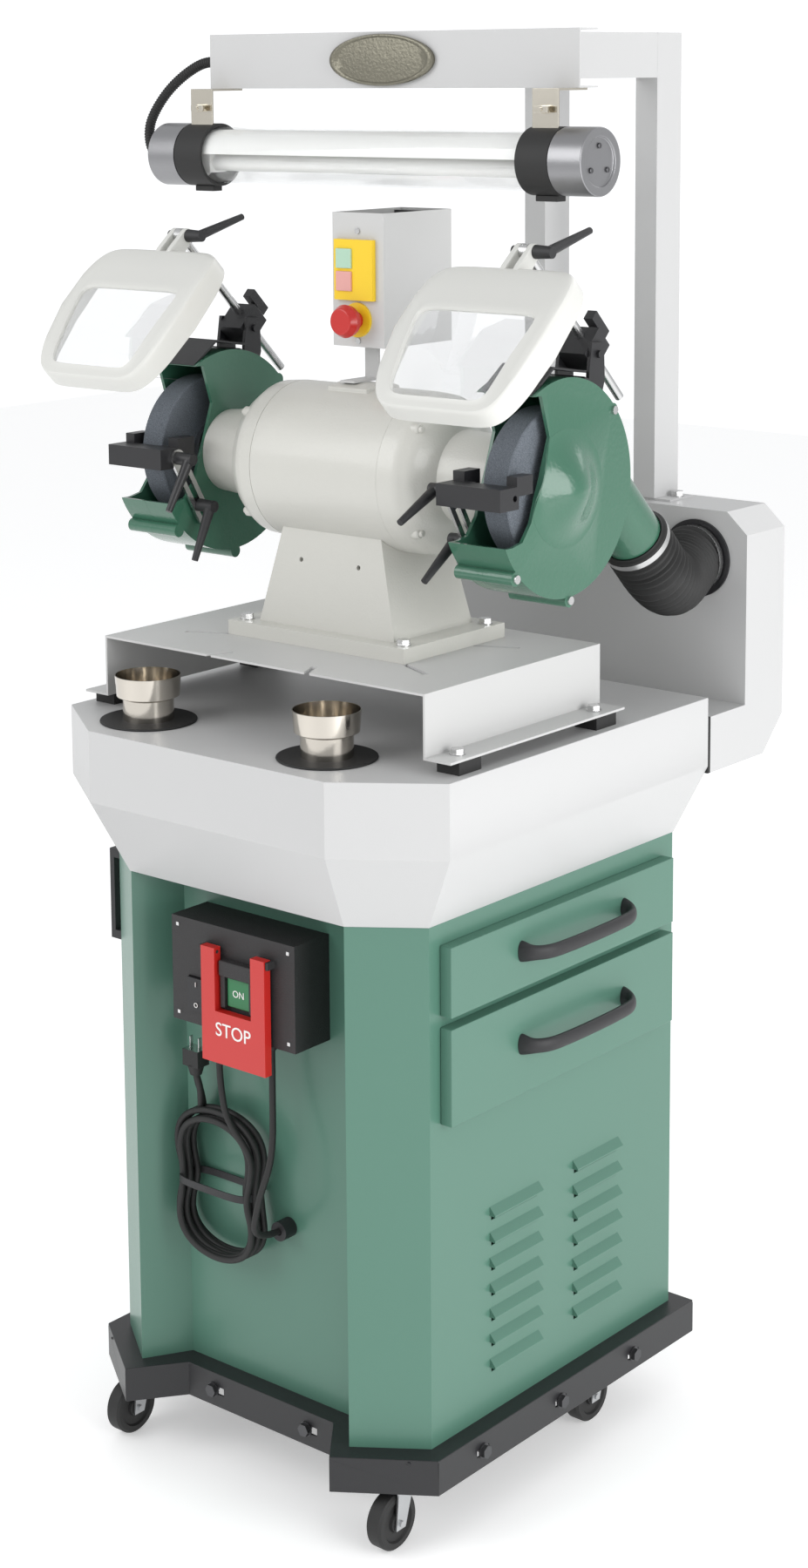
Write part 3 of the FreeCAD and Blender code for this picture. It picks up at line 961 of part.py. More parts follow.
# ---------------------------------------------------------------- checks and files
doc.recompute()
for thing in doc.Objects:
    troubles = [word for word in thing.State if word in ("Invalid", "Error")]
    if troubles:
        raise RuntimeError(f"{thing.Name} ({thing.Label}): {troubles}")
for bundle in NODES:
    shape = bundle.Shape
    if shape.isNull() or not shape.isValid():
        raise RuntimeError(f"{bundle.Label} has no valid shape")
    shape.exportStep(f"parts/{bundle.Label}.step")
    spread = shape.BoundBox
    print(f"{bundle.Label}: {len(shape.Solids)} solids, volume {shape.Volume / 1000:.1f} cm3,",
          f"x {spread.XMin:.0f}..{spread.XMax:.0f} y {spread.YMin:.0f}..{spread.YMax:.0f}",
          f"z {spread.ZMin:.0f}..{spread.ZMax:.0f}")
print(len(NODES), "nodes")
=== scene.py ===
import math

import bmesh
import bpy
import numpy as np
from mathutils import Matrix, Vector


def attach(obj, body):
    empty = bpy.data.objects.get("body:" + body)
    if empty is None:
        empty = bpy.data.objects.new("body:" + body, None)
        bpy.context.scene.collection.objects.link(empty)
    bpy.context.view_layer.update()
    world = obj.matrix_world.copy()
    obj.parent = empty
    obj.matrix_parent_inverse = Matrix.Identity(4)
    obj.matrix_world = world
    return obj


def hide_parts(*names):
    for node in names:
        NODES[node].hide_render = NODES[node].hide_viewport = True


# A bench grinder on its dust-collecting cabinet stand. Metres; +X right along the grinder's
# shaft, +Y to the back, +Z up, with the origin on the floor at the middle of the footprint.

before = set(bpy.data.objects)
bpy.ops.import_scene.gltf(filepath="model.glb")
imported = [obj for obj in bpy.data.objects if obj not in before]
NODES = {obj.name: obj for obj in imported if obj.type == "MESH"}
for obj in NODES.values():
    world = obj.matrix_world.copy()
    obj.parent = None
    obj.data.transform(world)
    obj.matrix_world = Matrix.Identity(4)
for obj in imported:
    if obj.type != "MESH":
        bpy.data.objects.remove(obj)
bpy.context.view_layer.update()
HALF_DEPTH = 0.4235
SMOOTH_ANGLE = math.radians(35)
BEVEL_ANGLE = math.radians(38)
FLAT_ANGLE = math.radians(0.3)
CARVE_SLACK = 1e-4
WORLD_LIGHT = 0.72
WORLD_SEEN_EXTRA = 0.4
SHAFT_Y, SHAFT_Z = 322, 1355
LAMP_Y, LAMP_Z = 340, 1762


def at(x, y, z):
    """A point from millimetres, with y counted from the front of the housing, to the row frame."""
    return Vector((x / 1000, y / 1000 - HALF_DEPTH, z / 1000))


# ---------------------------------------------------------------- camera, floor and light
def make_camera():
    """The camera, turned by yaw, pitch and roll."""
    yaw, pitch, roll = math.radians(40.3), math.radians(8.7), math.radians(-0.5)
    ahead = Vector((-math.sin(yaw) * math.cos(pitch), math.cos(yaw) * math.cos(pitch),
                    -math.sin(pitch)))
    level = Vector((math.cos(yaw), math.sin(yaw), 0))
    above = level.cross(ahead)
    right = math.cos(roll) * level + math.sin(roll) * above
    up = math.cos(roll) * above - math.sin(roll) * level
    data = bpy.data.cameras.new("Camera")
    data.sensor_width = 36
    data.lens = 61.17
    data.shift_x = 0.0221
    data.shift_y = -0.1962
    data.clip_end = 60
    camera = bpy.data.objects.new("Camera", data)
    bpy.context.scene.collection.objects.link(camera)
    turn = Matrix((right, up, -ahead)).transposed().to_4x4()
    camera.matrix_world = Matrix.Translation((2.279, -2.7786, 1.8777)) @ turn
    bpy.context.scene.camera = camera


def area_light(name, place, target, width, power):
    """A square light at a place, aimed at a target."""
    data = bpy.data.lights.new(name, "AREA")
    data.shape = "SQUARE"
    data.size = width
    data.energy = power
    lamp = bpy.data.objects.new(name, data)
    bpy.context.scene.collection.objects.link(lamp)
    lamp.location = place
    lamp.rotation_mode = "QUATERNION"
    lamp.rotation_quaternion = (Vector(target) - Vector(place)).to_track_quat("-Z", "Y")


make_camera()
area_light("key", (-1.6, -3.4, 3.2), (0, 0, 1.0), 2.6, 62)
area_light("fill", (4.2, -0.4, 1.7), (0, 0, 1.0), 2.6, 104)
area_light("back", (0.5, 3.6, 3.4), (0, 0, 1.2), 2.4, 26)
world = bpy.data.worlds.new("World")
bpy.context.scene.world = world
world.use_nodes = True
world.node_tree.nodes["Background"].inputs["Color"].default_value = (0.98, 0.99, 1.0, 1)
bpy.context.scene.view_settings.view_transform = "Standard"


def white_surround(tree):
    """The surround is plain white to the eye and softer as a light."""
    background = tree.nodes["Background"]
    path = tree.nodes.new("ShaderNodeLightPath")
    lift = tree.nodes.new("ShaderNodeMath")
    lift.operation = "MULTIPLY_ADD"
    lift.inputs[1].default_value = WORLD_SEEN_EXTRA
    lift.inputs[2].default_value = WORLD_LIGHT
    tree.links.new(path.outputs["Is Camera Ray"], lift.inputs[0])
    tree.links.new(lift.outputs[0], background.inputs["Strength"])


white_surround(world.node_tree)


# ---------------------------------------------------------------- shader groups
def new_group(name, inputs, outputs):
    """An empty shader group with the sockets given."""
    group = bpy.data.node_groups.new(name, "ShaderNodeTree")
    for label, kind, value in inputs:
        socket = group.interface.new_socket(label, in_out="INPUT", socket_type=kind)
        socket.default_value = value
    for label, kind in outputs:
        group.interface.new_socket(label, in_out="OUTPUT", socket_type=kind)
    return group, group.nodes.new("NodeGroupInput"), group.nodes.new("NodeGroupOutput")


def node_of(tree, kind, **sockets):
    """A shader node with values or links for the sockets named."""
    made = tree.nodes.new(kind)
    for label, value in sockets.items():
        numbered = label[:1] == "i" and label[1:].isdigit()
        socket = made.inputs[int(label[1:]) if numbered else label.replace("_", " ")]
        if isinstance(value, bpy.types.NodeSocket):
            tree.links.new(value, socket)
        else:
            socket.default_value = value
    return made


def grain_group():
    """Grain: fine noise for bump and a slow drift of tone, both on Object coordinates.

    height = fine noise(scale * p); colour = base * (1 - drift/2 + drift * slow noise), and
    roughness = rough + spread * (slow noise - 1/2).
    """
    group, given, out = new_group(
        "Grain",
        [("Colour", "NodeSocketColor", (0.5, 0.5, 0.5, 1)), ("Scale", "NodeSocketFloat", 400.0),
         ("Drift", "NodeSocketFloat", 0.06), ("Rough", "NodeSocketFloat", 0.4),
         ("Spread", "NodeSocketFloat", 0.1), ("Depth", "NodeSocketFloat", 0.1)],
        [("Colour", "NodeSocketColor"), ("Rough", "NodeSocketFloat"),
         ("Normal", "NodeSocketVector")])
    place = group.nodes.new("ShaderNodeTexCoord").outputs["Object"]
    fine = node_of(group, "ShaderNodeTexNoise", Vector=place, Scale=given.outputs["Scale"],
                   Detail=3.0)
    slow = node_of(group, "ShaderNodeTexNoise", Vector=place, Scale=5.0, Detail=4.0)
    tone = node_of(group, "ShaderNodeMath", i0=slow.outputs["Fac"], i1=0.5)
    tone.operation = "SUBTRACT"
    tone = node_of(group, "ShaderNodeMath", i0=tone.outputs[0], i1=given.outputs["Drift"], i2=1.0)
    tone.operation = "MULTIPLY_ADD"
    colour = node_of(group, "ShaderNodeVectorMath", i0=given.outputs["Colour"])
    colour.operation = "SCALE"
    group.links.new(tone.outputs[0], colour.inputs["Scale"])
    offset = node_of(group, "ShaderNodeMath", i0=slow.outputs["Fac"], i1=0.5)
    offset.operation = "SUBTRACT"
    rough = node_of(group, "ShaderNodeMath", i0=offset.outputs[0], i1=given.outputs["Spread"],
                    i2=given.outputs["Rough"])
    rough.operation = "MULTIPLY_ADD"
    bump = node_of(group, "ShaderNodeBump", Height=fine.outputs["Fac"],
                   Strength=given.outputs["Depth"],
                   Distance=0.001)
    group.links.new(colour.outputs[0], out.inputs["Colour"])
    group.links.new(rough.outputs[0], out.inputs["Rough"])
    group.links.new(bump.outputs[0], out.inputs["Normal"])
    return group


GRAIN = grain_group()


def finish_of(name, colour, rough=0.4, metal=0.0, scale=400.0, drift=0.06, spread=0.1, depth=0.1,
              coat=0.0, **extra):
    """A Principled surface whose colour, roughness and normal come from the grain group."""
    material = bpy.data.materials.new(name)
    material.use_nodes = True
    tree = material.node_tree
    shader = tree.nodes["Principled BSDF"]
    grain = tree.nodes.new("ShaderNodeGroup")
    grain.node_tree = GRAIN
    grain.inputs["Colour"].default_value = (*colour, 1)
    for label, value in (("Scale", scale), ("Drift", drift), ("Rough", rough), ("Spread", spread),
                         ("Depth", depth)):
        grain.inputs[label].default_value = value
    tree.links.new(grain.outputs["Colour"], shader.inputs["Base Color"])
    tree.links.new(grain.outputs["Rough"], shader.inputs["Roughness"])
    tree.links.new(grain.outputs["Normal"], shader.inputs["Normal"])
    shader.inputs["Metallic"].default_value = metal
    shader.inputs["Coat Weight"].default_value = coat
    shader.inputs["Coat Roughness"].default_value = 0.12
    for label, value in extra.items():
        shader.inputs[label.replace("_", " ")].default_value = value
    return material


def hammered(name, colour):
    """Cast iron under glossy paint that has run into smooth round dimples."""
    material = finish_of(name, colour, rough=0.22, drift=0.12, scale=260.0, depth=0.05, coat=0.35)
    tree = material.node_tree
    place = tree.nodes.new("ShaderNodeTexCoord").outputs["Object"]
    cells = node_of(tree, "ShaderNodeTexVoronoi", Vector=place, Scale=210.0)
    cells.feature = "SMOOTH_F1"
    bump = node_of(tree, "ShaderNodeBump", Height=cells.outputs["Distance"], Strength=0.22,
                   Distance=0.0012)
    tree.links.new(bump.outputs[0], tree.nodes["Principled BSDF"].inputs["Normal"])
    return material


def abrasive(name, colour):
    """Bonded grit: pale and dark grains about 0.6 mm apart, rough all over."""
    material = finish_of(name, colour, rough=0.92, drift=0.15, scale=1400.0, depth=0.8)
    tree = material.node_tree
    place = tree.nodes.new("ShaderNodeTexCoord").outputs["Object"]
    grit = node_of(tree, "ShaderNodeTexNoise", Vector=place, Scale=1600.0, Detail=1.0)
    ramp = node_of(tree, "ShaderNodeValToRGB", Fac=grit.outputs["Fac"])
    ramp.color_ramp.elements[0].position = 0.35
    ramp.color_ramp.elements[0].color = (*[c * 0.6 for c in colour], 1)
    ramp.color_ramp.elements[1].position = 0.68
    ramp.color_ramp.elements[1].color = (*[min(1, c * 1.9) for c in colour], 1)
    tree.links.new(ramp.outputs[0], tree.nodes["Principled BSDF"].inputs["Base Color"])
    return material


def see_through(name, colour, weight, alpha, rough=0.03):
    """A clear plastic that passes part of the light."""
    material = bpy.data.materials.new(name)
    material.use_nodes = True
    shader = material.node_tree.nodes["Principled BSDF"]
    shader.inputs["Base Color"].default_value = (*colour, 1)
    shader.inputs["Roughness"].default_value = rough
    shader.inputs["Transmission Weight"].default_value = weight
    shader.inputs["IOR"].default_value = 1.45
    shader.inputs["Alpha"].default_value = alpha
    return material


GREEN = finish_of("cabinet_green", (0.082, 0.195, 0.145), rough=0.36, drift=0.05, scale=900,
                  depth=0.12, coat=0.15)
WHITE = finish_of("hood_white", (0.55, 0.55, 0.55), rough=0.42, drift=0.03, scale=1100, depth=0.12)
SHELF_WHITE = finish_of("shelf_white", (0.55, 0.55, 0.545), rough=0.42, drift=0.03, scale=1100,
                        depth=0.12)
CREAM = finish_of("cast_cream", (0.58, 0.575, 0.535), rough=0.34, drift=0.05, scale=330, depth=0.35,
                  coat=0.25)
BLACK_METAL = finish_of("black_enamel", (0.016, 0.016, 0.018), rough=0.36, drift=0.2, scale=900,
                        depth=0.2)
BLACK_PLASTIC = finish_of("black_plastic", (0.018, 0.018, 0.02), rough=0.5, drift=0.2, scale=1500,
                          depth=0.3)
SWITCH_BLACK = finish_of("textured_black", (0.022, 0.021, 0.022), rough=0.56, drift=0.15, scale=800,
                         depth=0.6)
RUBBER = finish_of("black_rubber", (0.014, 0.014, 0.014), rough=0.62, drift=0.3, scale=500,
                   depth=0.25)
GREY_METAL = finish_of("zinc", (0.52, 0.53, 0.54), rough=0.34, metal=0.9, drift=0.2, scale=700,
                       depth=0.15)
STEEL = finish_of("bright_steel", (0.62, 0.62, 0.62), rough=0.26, metal=1.0, drift=0.15, scale=900,
                  depth=0.12)
NICKEL = finish_of("nickel", (0.66, 0.62, 0.54), rough=0.16, metal=1.0, drift=0.15, scale=300,
                   depth=0.05)
STAINLESS = finish_of("stainless", (0.62, 0.58, 0.52), rough=0.13, metal=1.0, drift=0.1, scale=500,
                      depth=0.04)
COPPER = finish_of("winding", (0.45, 0.17, 0.07), rough=0.35, metal=0.8, drift=0.3, scale=900,
                   depth=0.5)
IRON_GREEN = hammered("hammered_green", (0.042, 0.140, 0.088))
STONE = abrasive("grinding_stone", (0.115, 0.13, 0.15))
SHIELD = finish_of("shield_plastic", (0.66, 0.66, 0.63), rough=0.33, drift=0.03, scale=700,
                   depth=0.15)
RED = finish_of("red_plastic", (0.52, 0.018, 0.014), rough=0.3, drift=0.08, scale=600, depth=0.08,
                coat=0.2)
YELLOW = finish_of("yellow_plastic", (0.86, 0.58, 0.02), rough=0.35, drift=0.04, scale=600,
                   depth=0.08)
GREEN_BUTTON = finish_of("green_button", (0.02, 0.17, 0.06), rough=0.3, drift=0.06, scale=600,
                         depth=0.08)
MINT = finish_of("pale_green_button", (0.42, 0.62, 0.48), rough=0.25, drift=0.04, scale=600,
                 depth=0.05, coat=0.3)
ROSE = finish_of("pale_red_button", (0.72, 0.36, 0.33), rough=0.25, drift=0.04, scale=600,
                 depth=0.05, coat=0.3)
TUBE_WHITE = finish_of("lamp_white", (0.85, 0.85, 0.83), rough=0.3, drift=0.02, scale=500,
                       depth=0.04)
PALE_PRINT = finish_of("pale_marking", (0.8, 0.8, 0.78), rough=0.5, drift=0.02, scale=500,
                       depth=0.04)
DARK_ZINC = finish_of("dark_zinc", (0.10, 0.10, 0.105), rough=0.4, metal=0.9, drift=0.3, scale=600,
                      depth=0.2)
CAP_GREY = finish_of("cap_grey", (0.30, 0.30, 0.31), rough=0.34, metal=0.85, drift=0.2, scale=700,
                     depth=0.15)
BRONZE = finish_of("bronze_plaque", (0.20, 0.19, 0.15), rough=0.36, metal=0.8, drift=0.5, scale=260,
                   depth=0.8)
CLEAR = see_through("clear_plastic", (0.94, 0.97, 0.98), 0.9, 0.16)
LENS = see_through("lens", (0.93, 0.95, 1.0), 0.92, 0.24)
FLOOR = finish_of("pale_floor", (0.86, 0.86, 0.86), rough=0.6, drift=0.01, scale=20, depth=0.0,
                  Emission_Color=(1, 1, 1, 1), Emission_Strength=0.34)


def link(name, mesh, material, body, replaced=(), bevel=0.0):
    """A finished piece: its object at the origin, smooth up to 35 degrees, riding on a body."""
    obj = bpy.data.objects.new(name, mesh)
    bpy.context.scene.collection.objects.link(obj)
    mesh.materials.clear()
    mesh.materials.append(material)
    mesh.polygons.foreach_set("use_smooth", np.ones(len(mesh.polygons), bool))
    mesh.set_sharp_from_angle(angle=SMOOTH_ANGLE)
    if bevel:
        rounding = obj.modifiers.new("rounded", "BEVEL")
        rounding.width = bevel
        rounding.segments = 2
        rounding.limit_method = "ANGLE"
        rounding.angle_limit = BEVEL_ANGLE
        rounding.use_clamp_overlap = True
        rounding.harden_normals = True
    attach(obj, body)
    if replaced:
        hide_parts(*replaced)
    return obj


def carve(node, parts, rest_name, rest_material, body, bevel=0.0):
    """Copies of a CAD node's solids, sorted into pieces by the boxes that hold them.

    parts lists (name, material, boxes): a face goes to the first piece with a box around it. A part
    with no name is left out, where a finer piece stands for it.
    """
    source = NODES[node].data
    count = len(source.polygons)
    corners = np.zeros(len(source.vertices) * 3)
    source.vertices.foreach_get("co", corners)
    corners = corners.reshape(-1, 3)
    loops = np.zeros(count * 3, int)
    source.polygons.foreach_get("vertices", loops)
    faces = loops.reshape(-1, 3)
    low, high = corners[faces].min(1), corners[faces].max(1)
    left = np.ones(count, bool)
    made = []
    for name, material, boxes in parts:
        chosen = np.zeros(count, bool)
        for a, b in boxes:
            inside = (low >= np.array(a) - CARVE_SLACK) & (high <= np.array(b) + CARVE_SLACK)
            chosen |= inside.all(1)
        made.append((name, material, chosen & left))
        left &= ~chosen
    made.append((rest_name, rest_material, left))
    first = True
    for name, material, chosen in made:
        if name is None:
            continue
        if not chosen.any():
            print("nothing carved for", name)
            continue
        mesh = bpy.data.meshes.new(name)
        mesh.from_pydata(corners.tolist(), [], faces[chosen].tolist())
        work = bmesh.new()
        work.from_mesh(mesh)
        bmesh.ops.remove_doubles(work, verts=work.verts, dist=1e-6)
        bmesh.ops.delete(work, geom=[v for v in work.verts if not v.link_faces], context="VERTS")
        if bevel:
            bmesh.ops.dissolve_limit(work, angle_limit=FLAT_ANGLE, verts=work.verts,
                                     edges=work.edges)
        work.to_mesh(mesh)
        work.free()
        link(name, mesh, material, body, (node,) if first else (), bevel)
        first = False


def grid_mesh(name, points, closed_u=False, closed_v=False):
    """A quad surface from points[u, v], joined round in either direction when closed."""
    rows, columns = points.shape[:2]
    index = np.arange(rows * columns).reshape(rows, columns)
    if closed_u:
        index = np.vstack([index, index[:1]])
    if closed_v:
        index = np.hstack([index, index[:, :1]])
    quads = np.stack([index[:-1, :-1], index[:-1, 1:], index[1:, 1:], index[1:, :-1]],
                     -1).reshape(-1, 4)
    mesh = bpy.data.meshes.new(name)
    mesh.from_pydata(points.reshape(-1, 3).tolist(), [], quads.tolist())
    mesh.update()
    return mesh


def along(path, spacing):
    """Even points and a steady frame along a smooth path through the given points.

    Catmull-Rom: p(t) = half of (2b + (c - a) t + (2a - 5b + 4c - d) t^2 + (3b - a - 3c + d) t^3).
    """
    p = np.array([list(v) for v in path], float)
    p = np.vstack([2 * p[0] - p[1], p, 2 * p[-1] - p[-2]])
    t = np.linspace(0, 1, 60, endpoint=False)[:, None]
    runs = []
    for a, b, c, d in zip(p, p[1:], p[2:], p[3:]):
        square, cube = (2 * a - 5 * b + 4 * c - d) * t**2, (3 * b - a - 3 * c + d) * t**3
        runs.append((2 * b + (c - a) * t + square + cube) / 2)
    line = np.vstack(runs + [p[-2:-1]])
    reach = np.concatenate([[0], np.cumsum(np.linalg.norm(np.diff(line, axis=0), axis=1))])
    steps = np.linspace(0, reach[-1], max(4, int(reach[-1] / spacing)))
    centre = np.stack([np.interp(steps, reach, line[:, k]) for k in range(3)], 1)
    way = np.gradient(centre, axis=0)
    way /= np.linalg.norm(way, axis=1)[:, None]
    side = np.cross(way, [1.0, 0.02, 0.01])
    side /= np.linalg.norm(side, axis=1)[:, None]
    return centre, way, side, np.cross(way, side), steps


def ribbed_tube(name, path, radius, rib, pitch, sides=40, bore=0.88):
    """A corrugated tube, closed on itself through its bore.

    Outside r(s) = radius - rib * (1 + cos(2 pi s / pitch)) / 2; inside r = bore * radius.
    """
    centre, way, side, up, s = along(path, pitch / 8)
    outer = radius - rib * (1 + np.cos(2 * np.pi * s / pitch)) / 2
    rings = np.concatenate([outer, np.full(len(s), radius * bore)[::-1]])
    order = np.concatenate([np.arange(len(s)), np.arange(len(s))[::-1]])
    angle = np.linspace(0, 2 * np.pi, sides, endpoint=False)
    round_ = (side[order][:, None] * np.cos(angle)[:, None]
              + up[order][:, None] * np.sin(angle)[:, None])
    points = centre[order][:, None] + rings[:, None, None] * round_
    return grid_mesh(name, points, closed_u=True, closed_v=True), centre


# ---------------------------------------------------------------- floor
floor_mesh = bpy.data.meshes.new("floor")
floor_mesh.from_pydata([(-9, -9, -0.001), (9, -9, -0.001), (9, 9, -0.001), (-9, 9, -0.001)], [],
                       [(0, 1, 2, 3)])
floor_mesh.materials.append(FLOOR)
floor = bpy.data.objects.new("floor", floor_mesh)
bpy.context.scene.collection.objects.link(floor)

# ---------------------------------------------------------------- cords
CORD_R = 0.0045


def lay_cord(name, points, material):
    """A round flex on one NURBS line through its control points."""
    data = bpy.data.curves.new(name, "CURVE")
    data.dimensions = "3D"
    data.bevel_depth = CORD_R
    data.bevel_resolution = 4
    data.resolution_u = 6
    spline = data.splines.new("NURBS")
    spline.points.add(len(points) - 1)
    for point, place in zip(spline.points, points):
        point.co = (*place, 1)
    spline.order_u = 3
    spline.use_endpoint_u = True
    data.materials.append(material)
    obj = bpy.data.objects.new(name, data)
    bpy.context.scene.collection.objects.link(obj)
    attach(obj, "machine_frame")
    return obj


def hank_points():
    """The mains lead: down from the box, just under six loops, then up to the plug.

    Loop: x = -66 + a sin(t) (0.5 + 0.5 |cos t|), z = 404 + b cos(t), each turn 6.2 mm further back, with
    a = 106 + 10 cos(t / 2) and b = 99 + 5 cos(t / 2) so that each turn lies beside the last.
    """
    t = np.linspace(0.9, 2 * np.pi * 6 - 1.0, 100)
    x = -66 + (106 + 10 * np.cos(t / 2)) * np.sin(t) * (0.5 + 0.5 * np.abs(np.cos(t)))
    z = 404 + (99 + 5 * np.cos(t / 2)) * np.cos(t)
    y = 73 + 6.2 * (t - 0.9) / (2 * np.pi)
    loops = [at(*row) for row in zip(x, y, z)]
    start = [at(-58, 84, 630), at(-58, 84, 605), at(-58, 83, 580), at(-52, 79, 545),
             at(-38, 74, 505)]
    end = [at(-108, 106, 486), at(-106, 98, 520), at(-104, 88, 540), at(-104, 86, 551)]
    return start + loops + end


def plate_ring(name, half_x, half_y, thick, centre, height, material, body):
    """A flat tie round the hank: a superellipse of order 4 swept as a thin band."""
    angle = np.linspace(0, 2 * np.pi, 48, endpoint=False)
    c, s = np.cos(angle), np.sin(angle)
    x, y = np.sign(c) * np.abs(c) ** 0.5, np.sign(s) * np.abs(s) ** 0.5
    rings = []
    for grow, z in ((0, -1), (thick, -1), (thick, 1), (0, 1)):
        rings.append(np.stack([(half_x + grow) * x, (half_y + grow) * y,
                               np.full(48, z * height / 2)], 1))
    points = np.array(rings) + np.array(centre)
    return link(name, grid_mesh(name, points, True, True), material, body)


hank_line = hank_points()
mains = lay_cord("mains_lead", hank_line, RUBBER)
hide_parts("mains_cord", "cord_hank")
tie = plate_ring("hank_tie", 0.063, 0.0235, 0.0015, at(-65, 89.5, 404), 0.010, BLACK_PLASTIC,
                 "machine_frame")
carve("plug", [("plug_pins", STEEL, [(at(-125, 60, 585.8), at(-80, 110, 620))])],
      "plug_and_stub", RUBBER, "machine_frame", 0.0008)
link_line = [at(36, 84, 630), at(36, 84, 560), at(52, 66, 480), at(41, 48, 425), at(33, 42, 363),
             at(33, 113, 363)]
link_lead = lay_cord("link_lead", link_line, RUBBER)
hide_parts("link_cord")

conduit_path = [at(-300, 390, 1889), at(-352, 388, 1885), at(-398, 374, 1852), at(-416, 352, 1806),
                at(-404, 342, 1768), at(-367.3, 340, 1762)]
conduit_mesh, conduit_line = ribbed_tube("lamp_flex", conduit_path, 0.0075, 0.0014, 0.0038,
                                         sides=24)
conduit = link("lamp_flex", conduit_mesh, RUBBER, "machine_frame", ("lamp_conduit",))

# ---------------------------------------------------------------- dust hoses
for side, name in ((-1, "left"), (1, "right")):
    route = [at(side * 288, 532, 1261), at(side * 288, 558, 1235), at(side * 287, 592, 1203),
             at(side * 276, 640, 1181), at(side * 260, 690, 1186), at(side * 248, 725, 1195),
             at(side * 248, 745, 1195)]
    mesh, _ = ribbed_tube(f"hose_{name}", route, 0.0475, 0.0052, 0.0105, sides=56, bore=0.86)
    link(f"dust_hose_{name}", mesh, RUBBER, "machine_frame", ("dust_hoses",) if side < 0 else ())


# ---------------------------------------------------------------- eye shields
SLOPE = math.radians(45)
ROOT_HALF = 0.70711


def on_slope(hinge, u, v, w):
    """From across, up the slope and out of the face (mm) to the row frame."""
    u, v, w = np.broadcast_arrays(u, v, w)
    y = v * math.cos(SLOPE) - w * math.sin(SLOPE)
    z = v * math.sin(SLOPE) + w * math.cos(SLOPE)
    return np.stack([u, y, z], -1) / 1000 + np.array(hinge)


def shield_outline(angle):
    """Superellipse of order 8, 228 mm long; its half width is 91 + 79.5 t - 65.5 t^2, t from 0 below to 1."""
    c, s = np.cos(angle), np.sin(angle)
    v = 114 * np.sign(s) * np.abs(s) ** (2 / 8)
    t = (v + 114) / 228
    half = 91 + 79.5 * t - 65.5 * t**2
    return half * np.sign(c) * np.abs(c) ** (2 / 8), v - 148


WINDOW_MID = 180


def window_outline(angle):
    """Superellipse of order 9, 144 wide below and 184 above, 130 mm tall."""
    c, s = np.cos(angle), np.sin(angle)
    v = 65 * np.sign(s) * np.abs(s) ** (2 / 9)
    half = 82 + 10 * v / 65
    return half * np.sign(c) * np.abs(c) ** (2 / 9), v - WINDOW_MID


def bowed(v):
    """How far the shield's face swells out of its plane: 11 (1 - ((v + 148) / 114)^2) mm."""
    return 11 * (1 - ((v + 148) / 114) ** 2)


for side, name in ((-1, "left"), (1, "right")):
    body = f"shield_{name}"
    hinge = at(side * 297, 402 - 164 * ROOT_HALF, 1517 + 192 * ROOT_HALF)
    angle = np.linspace(0, 2 * np.pi, 96, endpoint=False)
    outer, inner = np.array(shield_outline(angle)), np.array(window_outline(angle))
    rings = []
    for mix, w in ((0, -16), (0, 3), (0.012, 7.5), (0.05, 10.6), (0.12, 12), (0.5, 12), (0.86, 12),
                   (0.93, 12.6),
                   (0.98, 11.6), (1, 9.5), (1, 6.5), (0.09, 6.5), (0.05, 3), (0.045, -16)):
        u, v = outer * (1 - mix) + inner * mix
        rings.append(on_slope(hinge, u, v, w + (bowed(v) if w > 0 else 0)))
    rim = link(f"shield_frame_{name}", grid_mesh("rim", np.array(rings), True, True), SHIELD, body,
               (f"eye_shield_{name}",))
    panes = []
    for grow, w in ((0.001, 8.6), (0.35, 8.6), (0.7, 8.6), (1.04, 8.6), (1.04, 6.0), (0.7, 6.0),
                    (0.35, 6.0), (0.001, 6.0)):
        v = (inner[1] + WINDOW_MID) * grow - WINDOW_MID
        panes.append(on_slope(hinge, inner[0] * grow, v, w + bowed(v)))
    pane = link(f"shield_lens_{name}", grid_mesh("pane", np.array(panes), False, True), LENS, body)
    for end, label in ((-1, "inner"), (1, "outer")):
        turn = np.linspace(0, np.pi, 18)
        v = np.concatenate([10 * np.sin(turn), [-34, -44, -44, -34]])
        w = np.concatenate([-10 * np.cos(turn), [13, 12, -8, -12]])
        rings = [on_slope(hinge, np.full(len(v), u), v, w)
                 for u in ((6.1, 14.0) if end > 0 else (-14.0, -6.1))]
        ear = np.array(rings)
        mesh = grid_mesh("ear", ear, False, True)
        work = bmesh.new()
        work.from_mesh(mesh)
        bmesh.ops.holes_fill(work, edges=[e for e in work.edges if e.is_boundary])
        bmesh.ops.recalc_face_normals(work, faces=work.faces)
        work.to_mesh(mesh)
        work.free()
        link(f"shield_ear_{name}_{label}", mesh, SHIELD, body, (), 0.0012)


# ---------------------------------------------------------------- drawer pulls
def bow_handle(name, path, wide, thick, material, body):
    """An oval bar carried along a path, its long axis upright, closed at both ends.

    Section: (thick cos a, wide sin a), swelling to 1.5 times at the two feet.
    """
    centre, way, _, _, s = along(path, 0.004)
    share = s / s[-1]
    flare = 1 + 0.5 * np.exp(-((share / 0.05) ** 2)) + 0.5 * np.exp(-(((1 - share) / 0.05) ** 2))
    vertical = np.array([0, 0, 1.0])
    outward = np.cross(way, vertical)
    angle = np.linspace(0, 2 * np.pi, 28, endpoint=False)
    points = (centre[:, None]
              + thick * flare[:, None, None] * outward[:, None] * np.cos(angle)[:, None]
              + wide * flare[:, None, None] * vertical * np.sin(angle)[:, None])
    points = np.concatenate([np.repeat(centre[:1, None], 28, 1), points,
                             np.repeat(centre[-1:, None], 28, 1)])
    return link(name, grid_mesh(name, points, False, True), material, body)


